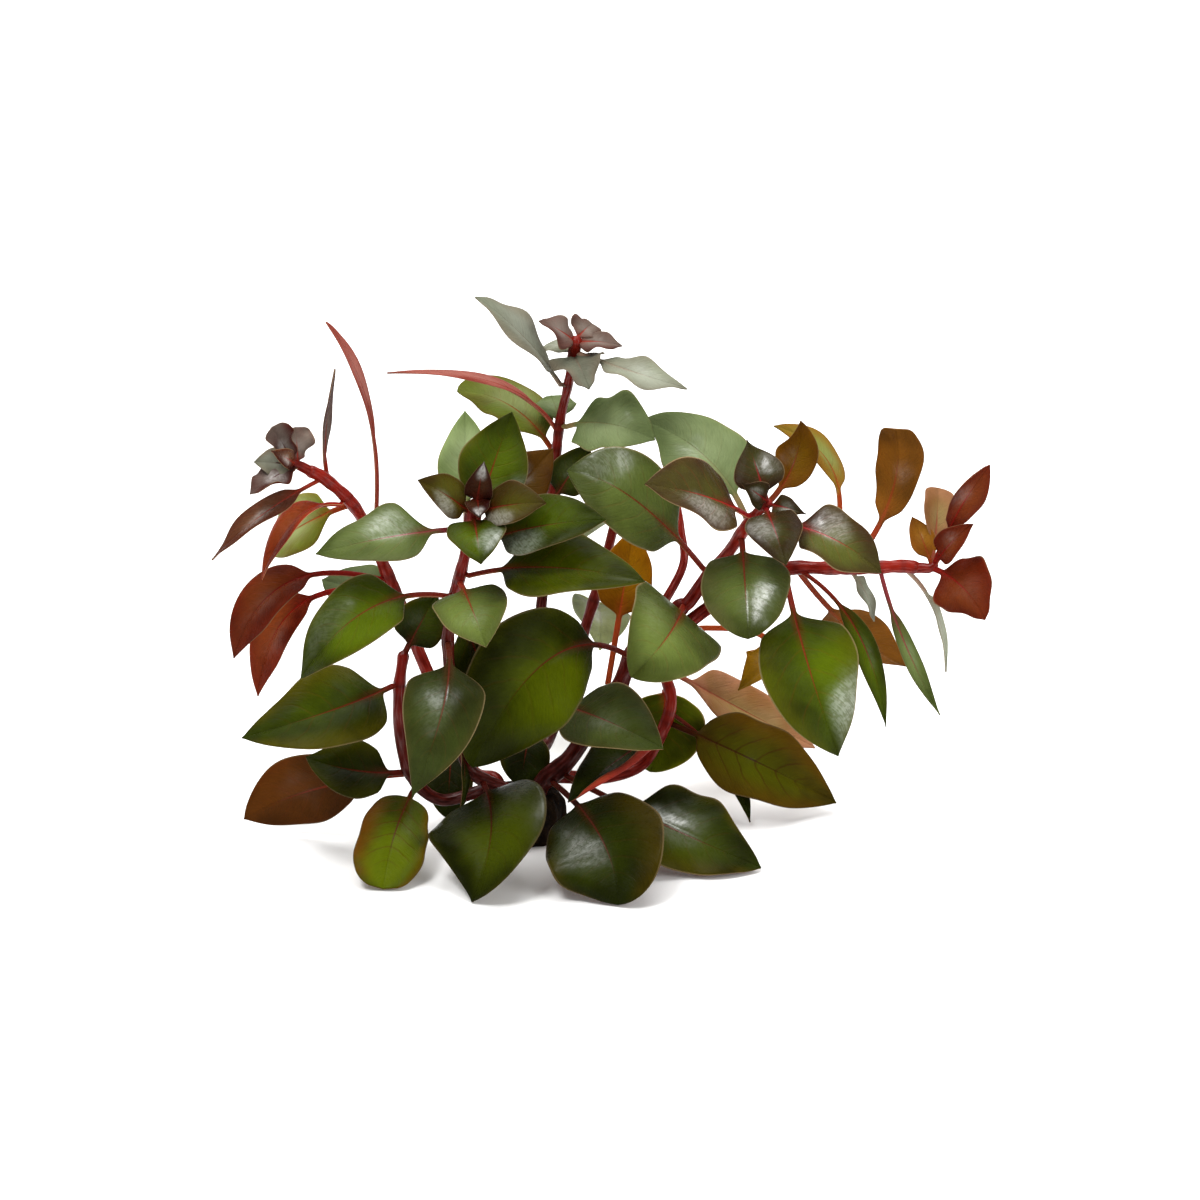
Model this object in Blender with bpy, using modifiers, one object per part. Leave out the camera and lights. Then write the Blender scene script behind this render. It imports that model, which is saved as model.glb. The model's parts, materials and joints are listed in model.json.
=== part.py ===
"""A clump of red ludwigia, cut off flat at ground level: a short rootstock, the stems that spread from it,
their leafy shoot tips and the opposite leaves. Metres, +Z up, origin in the middle of the cut underside.
The clump is seen along +Y, from a little above, and its places are read in that view."""

import math
from typing import NamedTuple

import bmesh
import bpy
import numpy as np

MM = 0.001

# The view in which places are read: pixels across and down, and millimetres back from the crown
VIEW_RISE = math.radians(20)
VIEW_DISTANCE = 900 * MM
VIEW_CENTRE = (14.3 * MM, 0.0, 44.7 * MM)
VIEW_MIDDLE = 600
PIXELS_PER_METRE = 5600

# Driving sizes
CROWN_RADIUS = 8.5 * MM
CROWN_TOP_RADIUS = 7.2 * MM
CROWN_HEIGHT = 8 * MM
CROWN_EDGE = 1.2 * MM
CROWN_SIDES = 16
GAP = 0.3 * MM
LEAF_THICKNESS = 0.5 * MM
LEAF_TIP_WIDTH = 0.7 * MM
STALK_WIDTH = 1.1 * MM
SMALL_STALK_WIDTH = 0.8 * MM
STALK_CLEARANCE = 0.65 * MM
SMALL_WIDTH = 6.5
BROAD_WIDTH = 12

# Rows of a leaf's grid, as shares of the blade from its foot to its tip
BROAD_ROWS = (0.0, 0.1, 0.26, 0.47, 0.68, 0.87, 1.0)
MEDIUM_ROWS = (0.0, 0.14, 0.38, 0.64, 0.86, 1.0)
SMALL_ROWS = (0.0, 0.2, 0.5, 0.8, 1.0)

# Outlines of a blade: how fast it widens at the foot, and how fast it narrows to the tip
OVATE = (0.62, 0.95)
ROUND = (0.55, 0.62)
ELLIPTIC = (0.85, 0.95)
NARROW = (1.0, 1.15)
DROP = (0.7, 1.15)
HEART = (0.14, 0.75)
FULL = (0.8, 0.72)
BLUNT = (0.45, 0.4)
SPOON = (0.85, 0.4)
LATE = (1.1, 0.7)


class Stem(NamedTuple):
    """A stem: what it grows from, its route in the view and its radius at both ends in millimetres."""

    name: str
    parent: str
    foot: tuple
    route: tuple
    radius: tuple
    points: int = 10
    finish: str = "maroon"


class Leaf(NamedTuple):
    """A leaf: its stem, the place on the stem that it grows from, its tip in the view and how far back
    that lies, its width, the way that its upper side faces, and how it bends: through a middle point of
    the view, or by a bow."""

    name: str
    stem: str
    near: tuple
    tip: tuple
    back: float
    width: float
    faces: tuple
    middle: tuple = ()
    bow: float = 0.12
    stalk: float = 0.14
    fold: float = 10
    twist: float = 0
    outline: tuple = OVATE
    finish: str = "green"
    own: bool = True


STEMS = (
    Stem("left_stem", "crown", (-4.6, 1.6),
         ((470, 768, 6), (436, 692, 12), (410, 630, 15), (388, 575, 14), (359, 513, 10), (328, 481, 7),
          (306, 469, 5)),
         (1.25, 1.0), 14, "red"),
    Stem("lower_left_stem", "crown", (-4.8, -2.6),
         ((442, 800, -7), (412, 776, -9), (400, 735, -10), (399, 690, -9), (404, 650, -7)),
         (1.15, 0.95), 9),
    Stem("centre_stem", "crown", (-1.4, -4.4),
         ((470, 770, -8), (455, 710, -11), (448, 643, -13), (454, 600, -14), (463, 563, -15),
          (471, 527, -16)),
         (1.15, 0.95), 11),
    Stem("top_stem", "crown", (0.2, 3.0),
         ((528, 760, 5), (532, 700, 8), (540, 620, 14), (550, 520, 20), (559, 429, 24), (567, 390, 24),
          (572, 362, 23)),
         (1.2, 0.75), 13),
    Stem("right_stem", "crown", (3.6, -1.6),
         ((570, 758, -1), (600, 712, 4), (618, 690, 6), (634, 652, 7), (660, 622, 6), (688, 602, 4)),
         (1.6, 1.4), 11),
    Stem("right_branch", "right_stem", (1.0,),
         ((707, 577, 2), (728, 553, -1), (745, 528, -4), (757, 513, -6)),
         (1.25, 0.95), 7, "red"),
    Stem("right_runner", "right_stem", (0.9,),
         ((716, 603, 3), (769, 576, 1), (793, 568, 0), (831, 568, -1), (879, 567, -2), (903, 566, -2),
          (921, 568, -2)),
         (1.25, 1.05), 12, "red"),
    Stem("upper_stem", "right_stem", (0.84,),
         ((683, 566, 13), (681, 530, 16), (676, 500, 19)),
         (0.85, 0.7), 6, "red"),
    Stem("curved_stem", "crown", (4.4, 2.4),
         ((600, 778, 5), (640, 766, 7), (660, 736, 8), (671, 705, 9), (667, 682, 11), (652, 655, 14)),
         (1.3, 0.9), 11, "red"),
    Stem("back_stem", "crown", (0.2, 5.2),
         ((548, 740, 22), (575, 660, 31), (600, 580, 37), (618, 510, 40), (630, 462, 41)),
         (1.3, 0.8), 10),
    Stem("left_tip", "left_stem", (1.0,), ((296, 464, 4), (289, 462, 3.5)), (0.95, 0.6), 3, "red"),
    Stem("centre_tip", "centre_stem", (1.0,), ((474, 512, -16), (478, 498, -15.5)), (0.9, 0.6), 3, "red"),
    Stem("top_tip", "top_stem", (1.0,), ((575, 348, 22.5), (577, 336, 22)), (0.85, 1.1), 3, "red"),
    Stem("right_tip", "right_branch", (1.0,), ((765, 507, -7), (771, 500, -7.5)), (0.9, 0.6), 3, "red"),
    Stem("runner_tip", "right_runner", (1.0,), ((930, 568, -2), (938, 562, -2)), (1.0, 0.6), 3, "red"),
)

LEAVES = (
    # Left shoot
    Leaf("left_tip_leaf_1", "left_tip", (297, 465), (295, 427), 5, 6, (0.3, -0.85, 0.4),
         stalk=0.05, outline=ROUND, finish="young", own=False),
    Leaf("left_tip_leaf_2", "left_tip", (292, 463), (272, 427), 0, 5.5, (0.3, -0.85, 0.3),
         stalk=0.05, outline=BLUNT, finish="young", own=False),
    Leaf("left_tip_leaf_3", "left_tip", (295, 465), (254, 462), 1, 6.5, (0.2, -0.8, 0.5),
         stalk=0.05, finish="grey", own=False),
    Leaf("left_tip_leaf_4", "left_tip", (293, 464), (272, 451), -4, 3.6, (0, -0.8, 0.4),
         stalk=0.02, finish="red", own=False),
    Leaf("left_tip_leaf_5", "left_tip", (298, 467), (250, 494), -4, 6.2, (-0.2, -0.6, 0.7),
         stalk=0.08, outline=ELLIPTIC, finish="young", own=False),
    Leaf("left_twisted_leaf", "left_stem", (322, 478), (212, 560), -2, 6.5, (0.3, -0.5, 0.8),
         middle=(264, 514, -1), fold=14, twist=50, outline=NARROW, finish="red", own=False),
    Leaf("left_thin_leaf", "left_stem", (329, 482), (335, 369), 12, 3.4, (0.7, -0.7, 0.2),
         middle=(325, 436, 10), stalk=0.25, twist=40, outline=LATE, finish="red", own=False),
    Leaf("left_tall_leaf", "left_stem", (374, 540), (326, 322), 14, 3.6, (0.7, -0.7, 0.3),
         middle=(370, 416, 14), stalk=0.35, twist=30, outline=LATE, finish="red", own=False),
    Leaf("left_back_leaf", "left_stem", (352, 505), (266, 552), 22, 12, (0, -0.7, 0.7),
         finish="yellow"),
    Leaf("left_inner_red_leaf", "left_stem", (345, 498), (262, 580), 2, 8, (-0.7, -0.4, 0.6),
         middle=(296, 520, 3), fold=16, outline=ELLIPTIC, finish="red"),
    Leaf("left_upper_red_leaf", "left_stem", (388, 574), (234, 658), 4, 9.5, (-0.5, -0.7, 0.5),
         middle=(286, 584, 5), stalk=0.32, fold=14, outline=ELLIPTIC, finish="red"),
    Leaf("left_lower_red_leaf", "left_stem", (394, 588), (258, 696), 10, 8.5, (-0.4, -0.7, 0.5),
         middle=(296, 608, 11), stalk=0.36, fold=14, outline=ELLIPTIC, finish="red"),
    Leaf("left_pale_leaf", "left_stem", (400, 606), (322, 580), 22, 12, (0, -0.5, 0.85), finish="hazy"),
    # Centre shoot
    Leaf("centre_left_leaf", "centre_tip", (472, 515), (418, 480), -19, 8.5, (0.2, -0.6, 0.8),
         finish="bronze", own=False),
    Leaf("centre_right_leaf", "centre_tip", (476, 513), (546, 503), -21, 9.5, (-0.2, -0.6, 0.8),
         finish="bronze", own=False),
    Leaf("centre_down_leaf", "centre_tip", (474, 516), (481, 564), -30, 10.5, (0, -0.75, 0.65),
         own=False),
    Leaf("centre_bud_leaf_1", "centre_tip", (478, 499), (484, 462), -17, 5.2, (0, -0.95, 0.3),
         stalk=0.02, outline=HEART, finish="young", own=False),
    Leaf("centre_bud_leaf_2", "centre_tip", (477, 500), (479, 517), -21, 4.6, (0, -0.85, 0.5),
         stalk=0.02, outline=HEART, finish="young", own=False),
    Leaf("centre_upright_leaf", "centre_stem", (472, 528), (512, 412), -6, 12.5, (0.1, -0.93, 0.35),
         bow=-0.08, stalk=0.2),
    Leaf("centre_back_leaf", "centre_stem", (468, 540), (465, 411), 2, 10, (0, -0.9, 0.4),
         bow=-0.08, stalk=0.3, finish="hazy"),
    Leaf("centre_brown_leaf", "centre_stem", (470, 534), (553, 449), -1, 10.5, (0, -0.9, 0.4),
         bow=-0.06, stalk=0.28, finish="orange"),
    Leaf("glossy_right_leaf", "centre_stem", (468, 542), (606, 520), -22, 14, (0, -0.5, 0.87),
         stalk=0.2),
    Leaf("left_arm_leaf", "centre_stem", (471, 528), (316, 554), -24, 12.8, (0, -0.5, 0.87),
         middle=(392, 537, -23), stalk=0.18, finish="grey"),
    Leaf("broad_right_leaf", "centre_stem", (461, 572), (645, 582), -26, 16, (0, -0.45, 0.9),
         bow=0.16, stalk=0.2, finish="bright"),
    Leaf("front_heart_leaf", "centre_stem", (460, 580), (486, 647), -33, 13.5, (0, -0.75, 0.65),
         bow=0.14),
    Leaf("left_lobe_leaf", "centre_stem", (455, 595), (301, 679), -25, 14.5, (-0.2, -0.6, 0.75),
         middle=(368, 610, -25), stalk=0.24),
    Leaf("front_drop_leaf", "centre_stem", (449, 640), (412, 797), -28, 14.5, (0, -0.95, 0.3),
         middle=(443, 708, -27), outline=DROP, finish="dark"),
    Leaf("hidden_front_leaf", "centre_stem", (455, 604), (486, 712), -8, 10, (0.3, -0.85, 0.4),
         middle=(478, 660, -9), finish="bright", own=False),
    Leaf("narrow_front_leaf", "centre_stem", (462, 742), (460, 814), -10, 4, (0.9, -0.3, 0.2),
         outline=NARROW, finish="dark", own=False),
    Leaf("inner_left_leaf", "left_stem", (452, 735), (447, 818), -1, 9, (0, -0.95, 0.3),
         stalk=0.05, outline=FULL, finish="dark", own=False),
    Leaf("inner_middle_leaf", "top_stem", (530, 728), (520, 786), 0, 9.5, (0, -0.95, 0.3),
         stalk=0.05, outline=FULL, finish="dark", own=False),
    # Lower left
    Leaf("large_left_leaf", "lower_left_stem", (399, 686), (242, 738), -20, 15.5, (0, -0.75, 0.65),
         middle=(330, 711, -19), stalk=0.08),
    Leaf("dark_hanging_leaf", "lower_left_stem", (404, 652), (437, 594), -5, 9.5, (0, -0.9, 0.4),
         finish="dark", own=False),
    Leaf("low_dark_leaf", "lower_left_stem", (402, 772), (306, 757), -10, 11, (0, -0.75, 0.65),
         middle=(352, 770, -11), stalk=0.1, finish="dark"),
    Leaf("low_orange_leaf", "lower_left_stem", (408, 774), (244, 819), -3, 13.5, (0.25, 0.95, 0.0),
         middle=(313, 789, -4), stalk=0.18, outline=ELLIPTIC, finish="orange"),
    Leaf("low_yellow_leaf", "lower_left_stem", (418, 784), (383, 889), -27.6, 12.8, (0, -0.8, 0.6),
         middle=(394, 836, -19), stalk=0.1, outline=BLUNT, finish="yellow"),
    # Middle
    Leaf("large_front_leaf", "right_stem", (632, 655), (472, 767), -16, 21, (0.15, -0.88, 0.45),
         middle=(548, 660, -11), stalk=0.2, outline=FULL, finish="bright"),
    Leaf("grey_leaf", "top_stem", (532, 700), (663, 749), -19, 15, (-0.1, -0.6, 0.8),
         bow=0.12, stalk=0.3, finish="grey"),
    Leaf("right_heart_leaf", "right_stem", (686, 605), (631, 677), -15, 19.5, (0.48, -0.57, 0.66),
         middle=(664, 641, -10), stalk=0.06, outline=HEART),
    Leaf("orange_leaf", "right_stem", (616, 692), (634, 528), 16, 10.5, (0, -0.9, 0.4),
         bow=-0.05, stalk=0.45, finish="orange"),
    # Right shoot
    Leaf("large_upper_leaf", "right_branch", (712, 572), (567, 471), -8, 16.5, (0.1, -0.75, 0.65),
         middle=(632, 498, -9), stalk=0.16, finish="grey"),
    Leaf("right_left_leaf", "right_branch", (754, 516), (645, 484), -18, 15, (0, -0.6, 0.8),
         bow=0.12, finish="young"),
    Leaf("right_down_leaf", "right_tip", (766, 508), (786, 565), -24, 10, (0, -0.75, 0.65),
         finish="bronze", own=False),
    Leaf("right_up_leaf", "right_tip", (768, 505), (747, 440), 2, 9.5, (0.1, -0.9, 0.4),
         outline=DROP, finish="dark", own=False),
    Leaf("right_bud_leaf_1", "right_tip", (769, 503), (742, 484), -10, 5.5, (0, -0.8, 0.6),
         finish="young", own=False),
    Leaf("right_bud_leaf_2", "right_tip", (768, 504), (806, 514), -12, 4.5, (0, -0.8, 0.6),
         finish="young", own=False),
    Leaf("right_right_leaf", "right_branch", (756, 514), (881, 573), -14, 12.5, (0.1, -0.6, 0.8),
         middle=(826, 536, -13), stalk=0.25, finish="bronze"),
    Leaf("round_down_leaf", "right_branch", (741, 535), (748, 639), -19, 16, (0, -0.9, 0.42),
         bow=0.1, stalk=0.12, outline=ROUND),
    Leaf("brown_upright_leaf", "right_branch", (752, 520), (801, 421), 9, 8, (0.1, -0.95, 0.3),
         middle=(790, 472, 8), stalk=0.3, outline=ELLIPTIC, finish="orange"),
    Leaf("pale_right_leaf", "right_branch", (748, 524), (641, 420), 18, 15, (0, -0.65, 0.75),
         middle=(704, 456, 13), stalk=0.15, finish="hazy"),
    # Runner
    Leaf("large_hanging_leaf", "right_runner", (786, 570), (838, 756), -17, 18, (0.15, -0.93, 0.35),
         middle=(807, 662, -16), stalk=0.2, finish="dark"),
    Leaf("arching_leaf", "right_runner", (832, 568), (774, 426), 15, 7.5, (0.75, -0.6, 0.3),
         middle=(833, 472, 14), stalk=0.35, outline=ELLIPTIC, finish="yellow"),
    Leaf("back_orange_leaf", "right_runner", (796, 569), (906, 666), 16, 11, (0, 0.8, 0.6),
         middle=(850, 628, 13), stalk=0.3, finish="orange"),
    Leaf("low_back_leaf", "right_stem", (656, 628), (738, 690), 17, 9.5, (-0.5, 0.8, 0.3),
         middle=(766, 638, 15), stalk=0.5, finish="orange"),
    Leaf("upright_orange_leaf", "right_runner", (858, 568), (896, 429), 6, 8.5, (0.4, 0.85, 0.2),
         middle=(893, 492, 8), stalk=0.25, outline=SPOON, finish="orange"),
    Leaf("twisted_leaf_1", "right_runner", (797, 569), (886, 727), -6, 4.5, (0.5, -0.8, 0.4),
         middle=(855, 628, -6), stalk=0.3, twist=30, outline=NARROW, own=False),
    Leaf("twisted_leaf_2", "right_runner", (850, 568), (874, 621), 4, 4, (0.5, -0.6, 0.6),
         finish="orange", own=False),
    Leaf("twisted_leaf_3", "right_runner", (880, 567), (940, 715), -8, 3.6, (0.4, -0.8, 0.4),
         middle=(903, 640, -8), stalk=0.25, outline=NARROW, finish="bright", own=False),
    Leaf("twisted_leaf_4", "right_runner", (903, 566), (946, 672), 4, 3.5, (0.8, -0.4, 0.4),
         middle=(935, 610, 4), stalk=0.3, outline=NARROW, finish="hazy", own=False),
    Leaf("runner_tip_leaf_1", "runner_tip", (934, 565), (990, 465), -4, 6.5, (0.3, -0.9, 0.3),
         middle=(959, 510, -4), stalk=0.3, outline=ELLIPTIC, finish="red", own=False),
    Leaf("runner_tip_leaf_2", "runner_tip", (932, 567), (938, 488), 8, 6.5, (0.2, -0.9, 0.3),
         stalk=0.3, finish="red", own=False),
    Leaf("runner_tip_leaf_3", "runner_tip", (936, 564), (973, 524), -8, 6, (-0.5, -0.7, 0.5),
         finish="red", own=False),
    Leaf("runner_tip_leaf_4", "runner_tip", (932, 568), (985, 620), -8, 11.5, (-0.2, -0.8, 0.6),
         middle=(962, 587, -6), finish="red", own=False),
    Leaf("runner_tip_leaf_5", "runner_tip", (933, 567), (912, 517), 4, 5, (0.2, -0.9, 0.3),
         finish="red", own=False),
    # Top shoot
    Leaf("top_left_leaf", "top_stem", (567, 384), (475, 297), 18, 11, (0.2, -0.3, 0.93),
         middle=(521, 335, 19), stalk=0.08, outline=ELLIPTIC, finish="grey"),
    Leaf("top_right_leaf", "top_tip", (575, 352), (687, 389), 16, 8, (0, -0.3, 0.95),
         middle=(632, 372, 17), stalk=0.2, finish="hazy", own=False),
    Leaf("top_tip_leaf_1", "top_tip", (576, 342), (539, 321), 20, 6.5, (0.2, -0.5, 0.85),
         stalk=0.02, finish="young", own=False),
    Leaf("top_tip_leaf_2", "top_tip", (576, 342), (622, 346), 20, 5, (0, -0.5, 0.85),
         stalk=0.02, finish="young", own=False),
    Leaf("top_tip_leaf_3", "top_tip", (574, 356), (589, 389), 12, 9.5, (0, -0.6, 0.8),
         stalk=0.02, outline=HEART, finish="grey", own=False),
    Leaf("top_tip_leaf_4", "top_tip", (574, 352), (546, 345), 31, 6, (0, -0.5, 0.87),
         stalk=0.02, finish="grey", own=False),
    Leaf("top_tip_leaf_5", "top_tip", (577, 338), (592, 324), 26, 6, (0, -0.8, 0.6),
         stalk=0.02, outline=ROUND, finish="young", own=False),
    Leaf("long_thin_leaf", "top_stem", (558, 432), (387, 373), 28, 3.6, (-0.2, -0.1, 0.98),
         middle=(496, 384, 28), stalk=0.2, outline=NARROW, finish="red", own=False),
    Leaf("hazy_left_leaf", "top_stem", (555, 450), (457, 391), 34, 12, (0, -0.3, 0.95),
         middle=(510, 406, 33), stalk=0.08, outline=ROUND, finish="hazy"),
    Leaf("hazy_middle_leaf", "top_stem", (560, 425), (655, 440), 14, 14.5, (0, -0.6, 0.8),
         middle=(606, 424, 18), finish="hazy"),
    Leaf("hazy_upper_leaf", "top_stem", (562, 424), (551, 396), 34, 8, (0, -0.5, 0.87),
         finish="hazy", own=False),
    Leaf("dark_inner_leaf", "top_stem", (552, 500), (590, 445), 22, 8, (0, -0.9, 0.4),
         finish="dark", own=False),
    # Lower right and front
    Leaf("low_front_leaf", "centre_stem", (478, 784), (472, 902), -33, 22.5, (-0.35, -0.6, 0.7),
         middle=(491, 836, -25), stalk=0.08, finish="bright"),
    Leaf("low_round_leaf", "right_stem", (556, 782), (618, 905), -34.5, 22, (0, -0.85, 0.5),
         middle=(601, 838, -25), stalk=0.22, outline=ROUND, finish="dark"),
    Leaf("low_right_leaf", "right_stem", (562, 772), (761, 868), -19, 17.5, (0.1, -0.6, 0.8),
         middle=(666, 826, -14), stalk=0.3),
    Leaf("curled_leaf", "curved_stem", (660, 738), (568, 802), -16, 10.5, (0, -0.6, 0.8),
         bow=0.12, stalk=0.1, finish="dark"),
    Leaf("middle_right_leaf", "curved_stem", (668, 688), (650, 772), 10, 16.5, (0, -0.9, 0.42),
         middle=(662, 724, 13), stalk=0.05, outline=ROUND),
    Leaf("large_low_leaf", "curved_stem", (667, 722), (836, 803), 9, 16, (0, -0.75, 0.65),
         bow=0.08, stalk=0.14, finish="bronze"),
    Leaf("pink_back_leaf", "curved_stem", (658, 668), (815, 748), 28, 12, (0, -0.6, 0.8),
         middle=(745, 712, 26), stalk=0.14, finish="red"),
    Leaf("low_thin_leaf", "curved_stem", (667, 712), (750, 822), 2, 4, (0.3, -0.6, 0.7),
         middle=(723, 762, 8.5), stalk=0.3, outline=NARROW, finish="dark", own=False),
    # Back
    Leaf("back_leaf_1", "back_stem", (582, 640), (508, 660), 60, 13, (0, 0.6, 0.8),
         finish="hazy", own=False),
    Leaf("back_leaf_2", "back_stem", (594, 600), (600, 650), 66, 12, (0.3, 0.6, 0.8),
         finish="hazy", own=False),
    Leaf("back_leaf_3", "back_stem", (616, 516), (540, 560), 60, 12, (0, 0.5, 0.87),
         finish="hazy", own=False),
    Leaf("back_leaf_4", "back_stem", (627, 474), (640, 500), 66, 11, (0, 0.5, 0.87),
         finish="hazy", own=False),
)


# Plain finishes: colour, roughness and metallic value
FINISHES = {
    "crown": ((0.035, 0.018, 0.012), 0.75, 0.0),
    "maroon": ((0.12, 0.012, 0.012), 0.4, 0.0),
    "red": ((0.33, 0.018, 0.018), 0.35, 0.0),
    "green": ((0.07, 0.12, 0.02), 0.35, 0.0),
    "bright": ((0.12, 0.18, 0.015), 0.35, 0.0),
    "dark": ((0.03, 0.06, 0.02), 0.35, 0.0),
    "yellow": ((0.19, 0.2, 0.02), 0.4, 0.0),
    "grey": ((0.1, 0.12, 0.07), 0.35, 0.0),
    "hazy": ((0.17, 0.22, 0.11), 0.5, 0.0),
    "bronze": ((0.09, 0.07, 0.025), 0.35, 0.0),
    "young": ((0.09, 0.045, 0.045), 0.35, 0.0),
    "orange": ((0.25, 0.09, 0.015), 0.4, 0.0),
}


def unit(vector):
    """The vector at length one."""
    return vector / np.linalg.norm(vector)


def seen(across, down, back):
    """The place that the view shows at a pixel, when it lies so many millimetres behind the crown."""
    reach = PIXELS_PER_METRE * VIEW_DISTANCE
    right = (across - VIEW_MIDDLE) / reach
    up = (VIEW_MIDDLE - down) / reach
    y = back * MM
    cosine, sine = math.cos(VIEW_RISE), math.sin(VIEW_RISE)
    rise = (up * (VIEW_DISTANCE + y * cosine) - y * sine) / (cosine + up * sine)
    depth = VIEW_DISTANCE + y * cosine - rise * sine
    return np.array((VIEW_CENTRE[0] + right * depth, y, VIEW_CENTRE[2] + rise))


def pixel_of(points):
    """The pixels, across and down, at which the view shows an array of places."""
    away = points - np.array(VIEW_CENTRE)
    cosine, sine = math.cos(VIEW_RISE), math.sin(VIEW_RISE)
    up = away[:, 2] * cosine + away[:, 1] * sine
    depth = VIEW_DISTANCE + away[:, 1] * cosine - away[:, 2] * sine
    reach = PIXELS_PER_METRE * VIEW_DISTANCE
    return np.stack((VIEW_MIDDLE + reach * away[:, 0] / depth, VIEW_MIDDLE - reach * up / depth), 1)


def smooth_path(corners, count):
    """Points at even steps along a Catmull-Rom curve through the corners."""
    corners = np.array(corners)
    ends = np.vstack((2 * corners[0] - corners[1], corners, 2 * corners[-1] - corners[-2]))
    share = np.linspace(0, 1, 12, endpoint=False)[:, None]
    pieces = []
    for a, b, c, d in zip(ends, ends[1:], ends[2:], ends[3:]):
        pieces.append(0.5 * (2 * b + (c - a) * share + (2 * a - 5 * b + 4 * c - d) * share**2
                             + (3 * b - a - 3 * c + d) * share**3))
    line = np.vstack((*pieces, corners[-1:]))
    steps = np.concatenate(([0], np.cumsum(np.linalg.norm(np.diff(line, axis=0), axis=1))))
    wanted = np.linspace(0, steps[-1], count)
    return np.stack([np.interp(wanted, steps, line[:, axis]) for axis in range(3)], 1)


def trunk_point(path, radii, share):
    """The middle, direction and radius of a stem at a share of its length."""
    place = share * (len(path) - 1)
    low = min(int(place), len(path) - 2)
    part = place - low
    middle = path[low] * (1 - part) + path[low + 1] * part
    return middle, unit(path[low + 1] - path[low]), radii[low] * (1 - part) + radii[low + 1] * part


def stem_foot(stem, paths):
    """Where a stem begins: on the crown, past the end of its parent, or on its parent's side."""
    if stem.parent == "crown":
        height = CROWN_HEIGHT + 2 * GAP + stem.radius[0] * MM * 0.7
        return [np.array((stem.foot[0] * MM, stem.foot[1] * MM, height))]
    path, radii = paths[stem.parent]
    share = stem.foot[0]
    middle, along, radius = trunk_point(path, radii, share)
    if share == 1:
        return [middle + along * (GAP + 0.1 * MM)]
    outward = seen(*stem.route[0]) - middle
    outward = unit(outward - outward.dot(along) * along)
    start = middle + outward * (radius + GAP + stem.radius[0] * MM * 0.75)
    return [start, start + outward * radius / 2]


def stem_paths():
    """Each stem's points and its radius at each of them."""
    paths = {}
    for stem in STEMS:
        corners = stem_foot(stem, paths) + [seen(*place) for place in stem.route]
        radii = np.linspace(stem.radius[0], stem.radius[1], stem.points) * MM
        paths[stem.name] = (smooth_path(corners, stem.points), radii)
    return paths


def leaf_foot(leaf, paths):
    """The start of a leaf's stalk: just off its stem's side, or inside it if the leaf is grown into it."""
    path, radii = paths[leaf.stem]
    shares = np.linspace(0, 1, 200)
    line = np.array([trunk_point(path, radii, share)[0] for share in shares])
    nearest = np.argmin(np.linalg.norm(pixel_of(line) - np.array(leaf.near), axis=1))
    middle, along, radius = trunk_point(path, radii, shares[nearest])
    outward = seen(*(leaf.middle or (*leaf.tip, leaf.back))) - middle
    outward = unit(outward - outward.dot(along) * along)
    return middle + outward * (radius + STALK_CLEARANCE if leaf.own else radius / 4)


def leaf_surface(leaf, foot, across, along):
    """The middle surface of a leaf, for arrays across (-1 to 1) and along (0 to 1). The midrib is a curve
    with one bend point, the half width is along^a (1 - along)^b past the stalk, and both halves rise by
    the fold."""
    tip = seen(*leaf.tip, leaf.back)
    chord = tip - foot
    length = np.linalg.norm(chord)
    ahead = chord / length
    face = np.array(leaf.faces, float)
    face = unit(face - face.dot(ahead) * ahead)
    side = np.cross(ahead, face)
    bend = foot + chord * 0.45 + face * leaf.bow * length
    if leaf.middle:
        bend = 2 * seen(*leaf.middle) - (foot + tip) / 2
    t = along[:, None]
    midrib = (1 - t) ** 2 * foot + 2 * t * (1 - t) * bend + t**2 * tip
    run = 2 * (1 - t) * (bend - foot) + 2 * t * (tip - bend)
    run /= np.linalg.norm(run, axis=1)[:, None]
    turn = np.radians(leaf.twist) * t
    up = face * np.cos(turn) + side * np.sin(turn)
    up -= (up * run).sum(1)[:, None] * run
    up /= np.linalg.norm(up, axis=1)[:, None]
    out = np.cross(run, up)
    stalk_width = (STALK_WIDTH if leaf.width > SMALL_WIDTH else SMALL_STALK_WIDTH) / 2
    blade = np.clip((along - leaf.stalk) / (1 - leaf.stalk), 0, 1)
    rise, fall = leaf.outline
    peak = (rise / (rise + fall)) ** rise * (fall / (rise + fall)) ** fall
    half = leaf.width * MM / 2 * blade**rise * (1 - blade) ** fall / peak
    narrowest = np.where(blade < 0.5, stalk_width, LEAF_TIP_WIDTH / 2)
    half = np.maximum(half, narrowest)[:, None]
    fold = math.radians(leaf.fold)
    reach = across[:, None] * half
    return midrib + out * reach * math.cos(fold) + up * np.abs(reach) * math.sin(fold)


def finish_of(name):
    """The material with a finish's colour, made once."""
    made = bpy.data.materials.get(name)
    if made:
        return made
    colour, roughness, metallic = FINISHES[name]
    made = bpy.data.materials.new(name)
    made.use_nodes = True
    shader = made.node_tree.nodes["Principled BSDF"]
    shader.inputs["Base Color"].default_value = (*colour, 1)
    shader.inputs["Roughness"].default_value = roughness
    shader.inputs["Metallic"].default_value = metallic
    return made


def add_crown(plant):
    """The rootstock: a low round stump with a flat cut underside and a softened upper edge."""
    bpy.ops.mesh.primitive_cone_add(
        vertices=CROWN_SIDES, radius1=CROWN_RADIUS, radius2=CROWN_TOP_RADIUS, depth=CROWN_HEIGHT,
        location=(0, 0, CROWN_HEIGHT / 2))
    crown = bpy.context.object
    crown.name = "crown"
    edge = crown.modifiers.new("softened edge", "BEVEL")
    edge.width = CROWN_EDGE
    edge.segments = 2
    crown.data.materials.append(finish_of("crown"))
    move_to(crown, plant)


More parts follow.
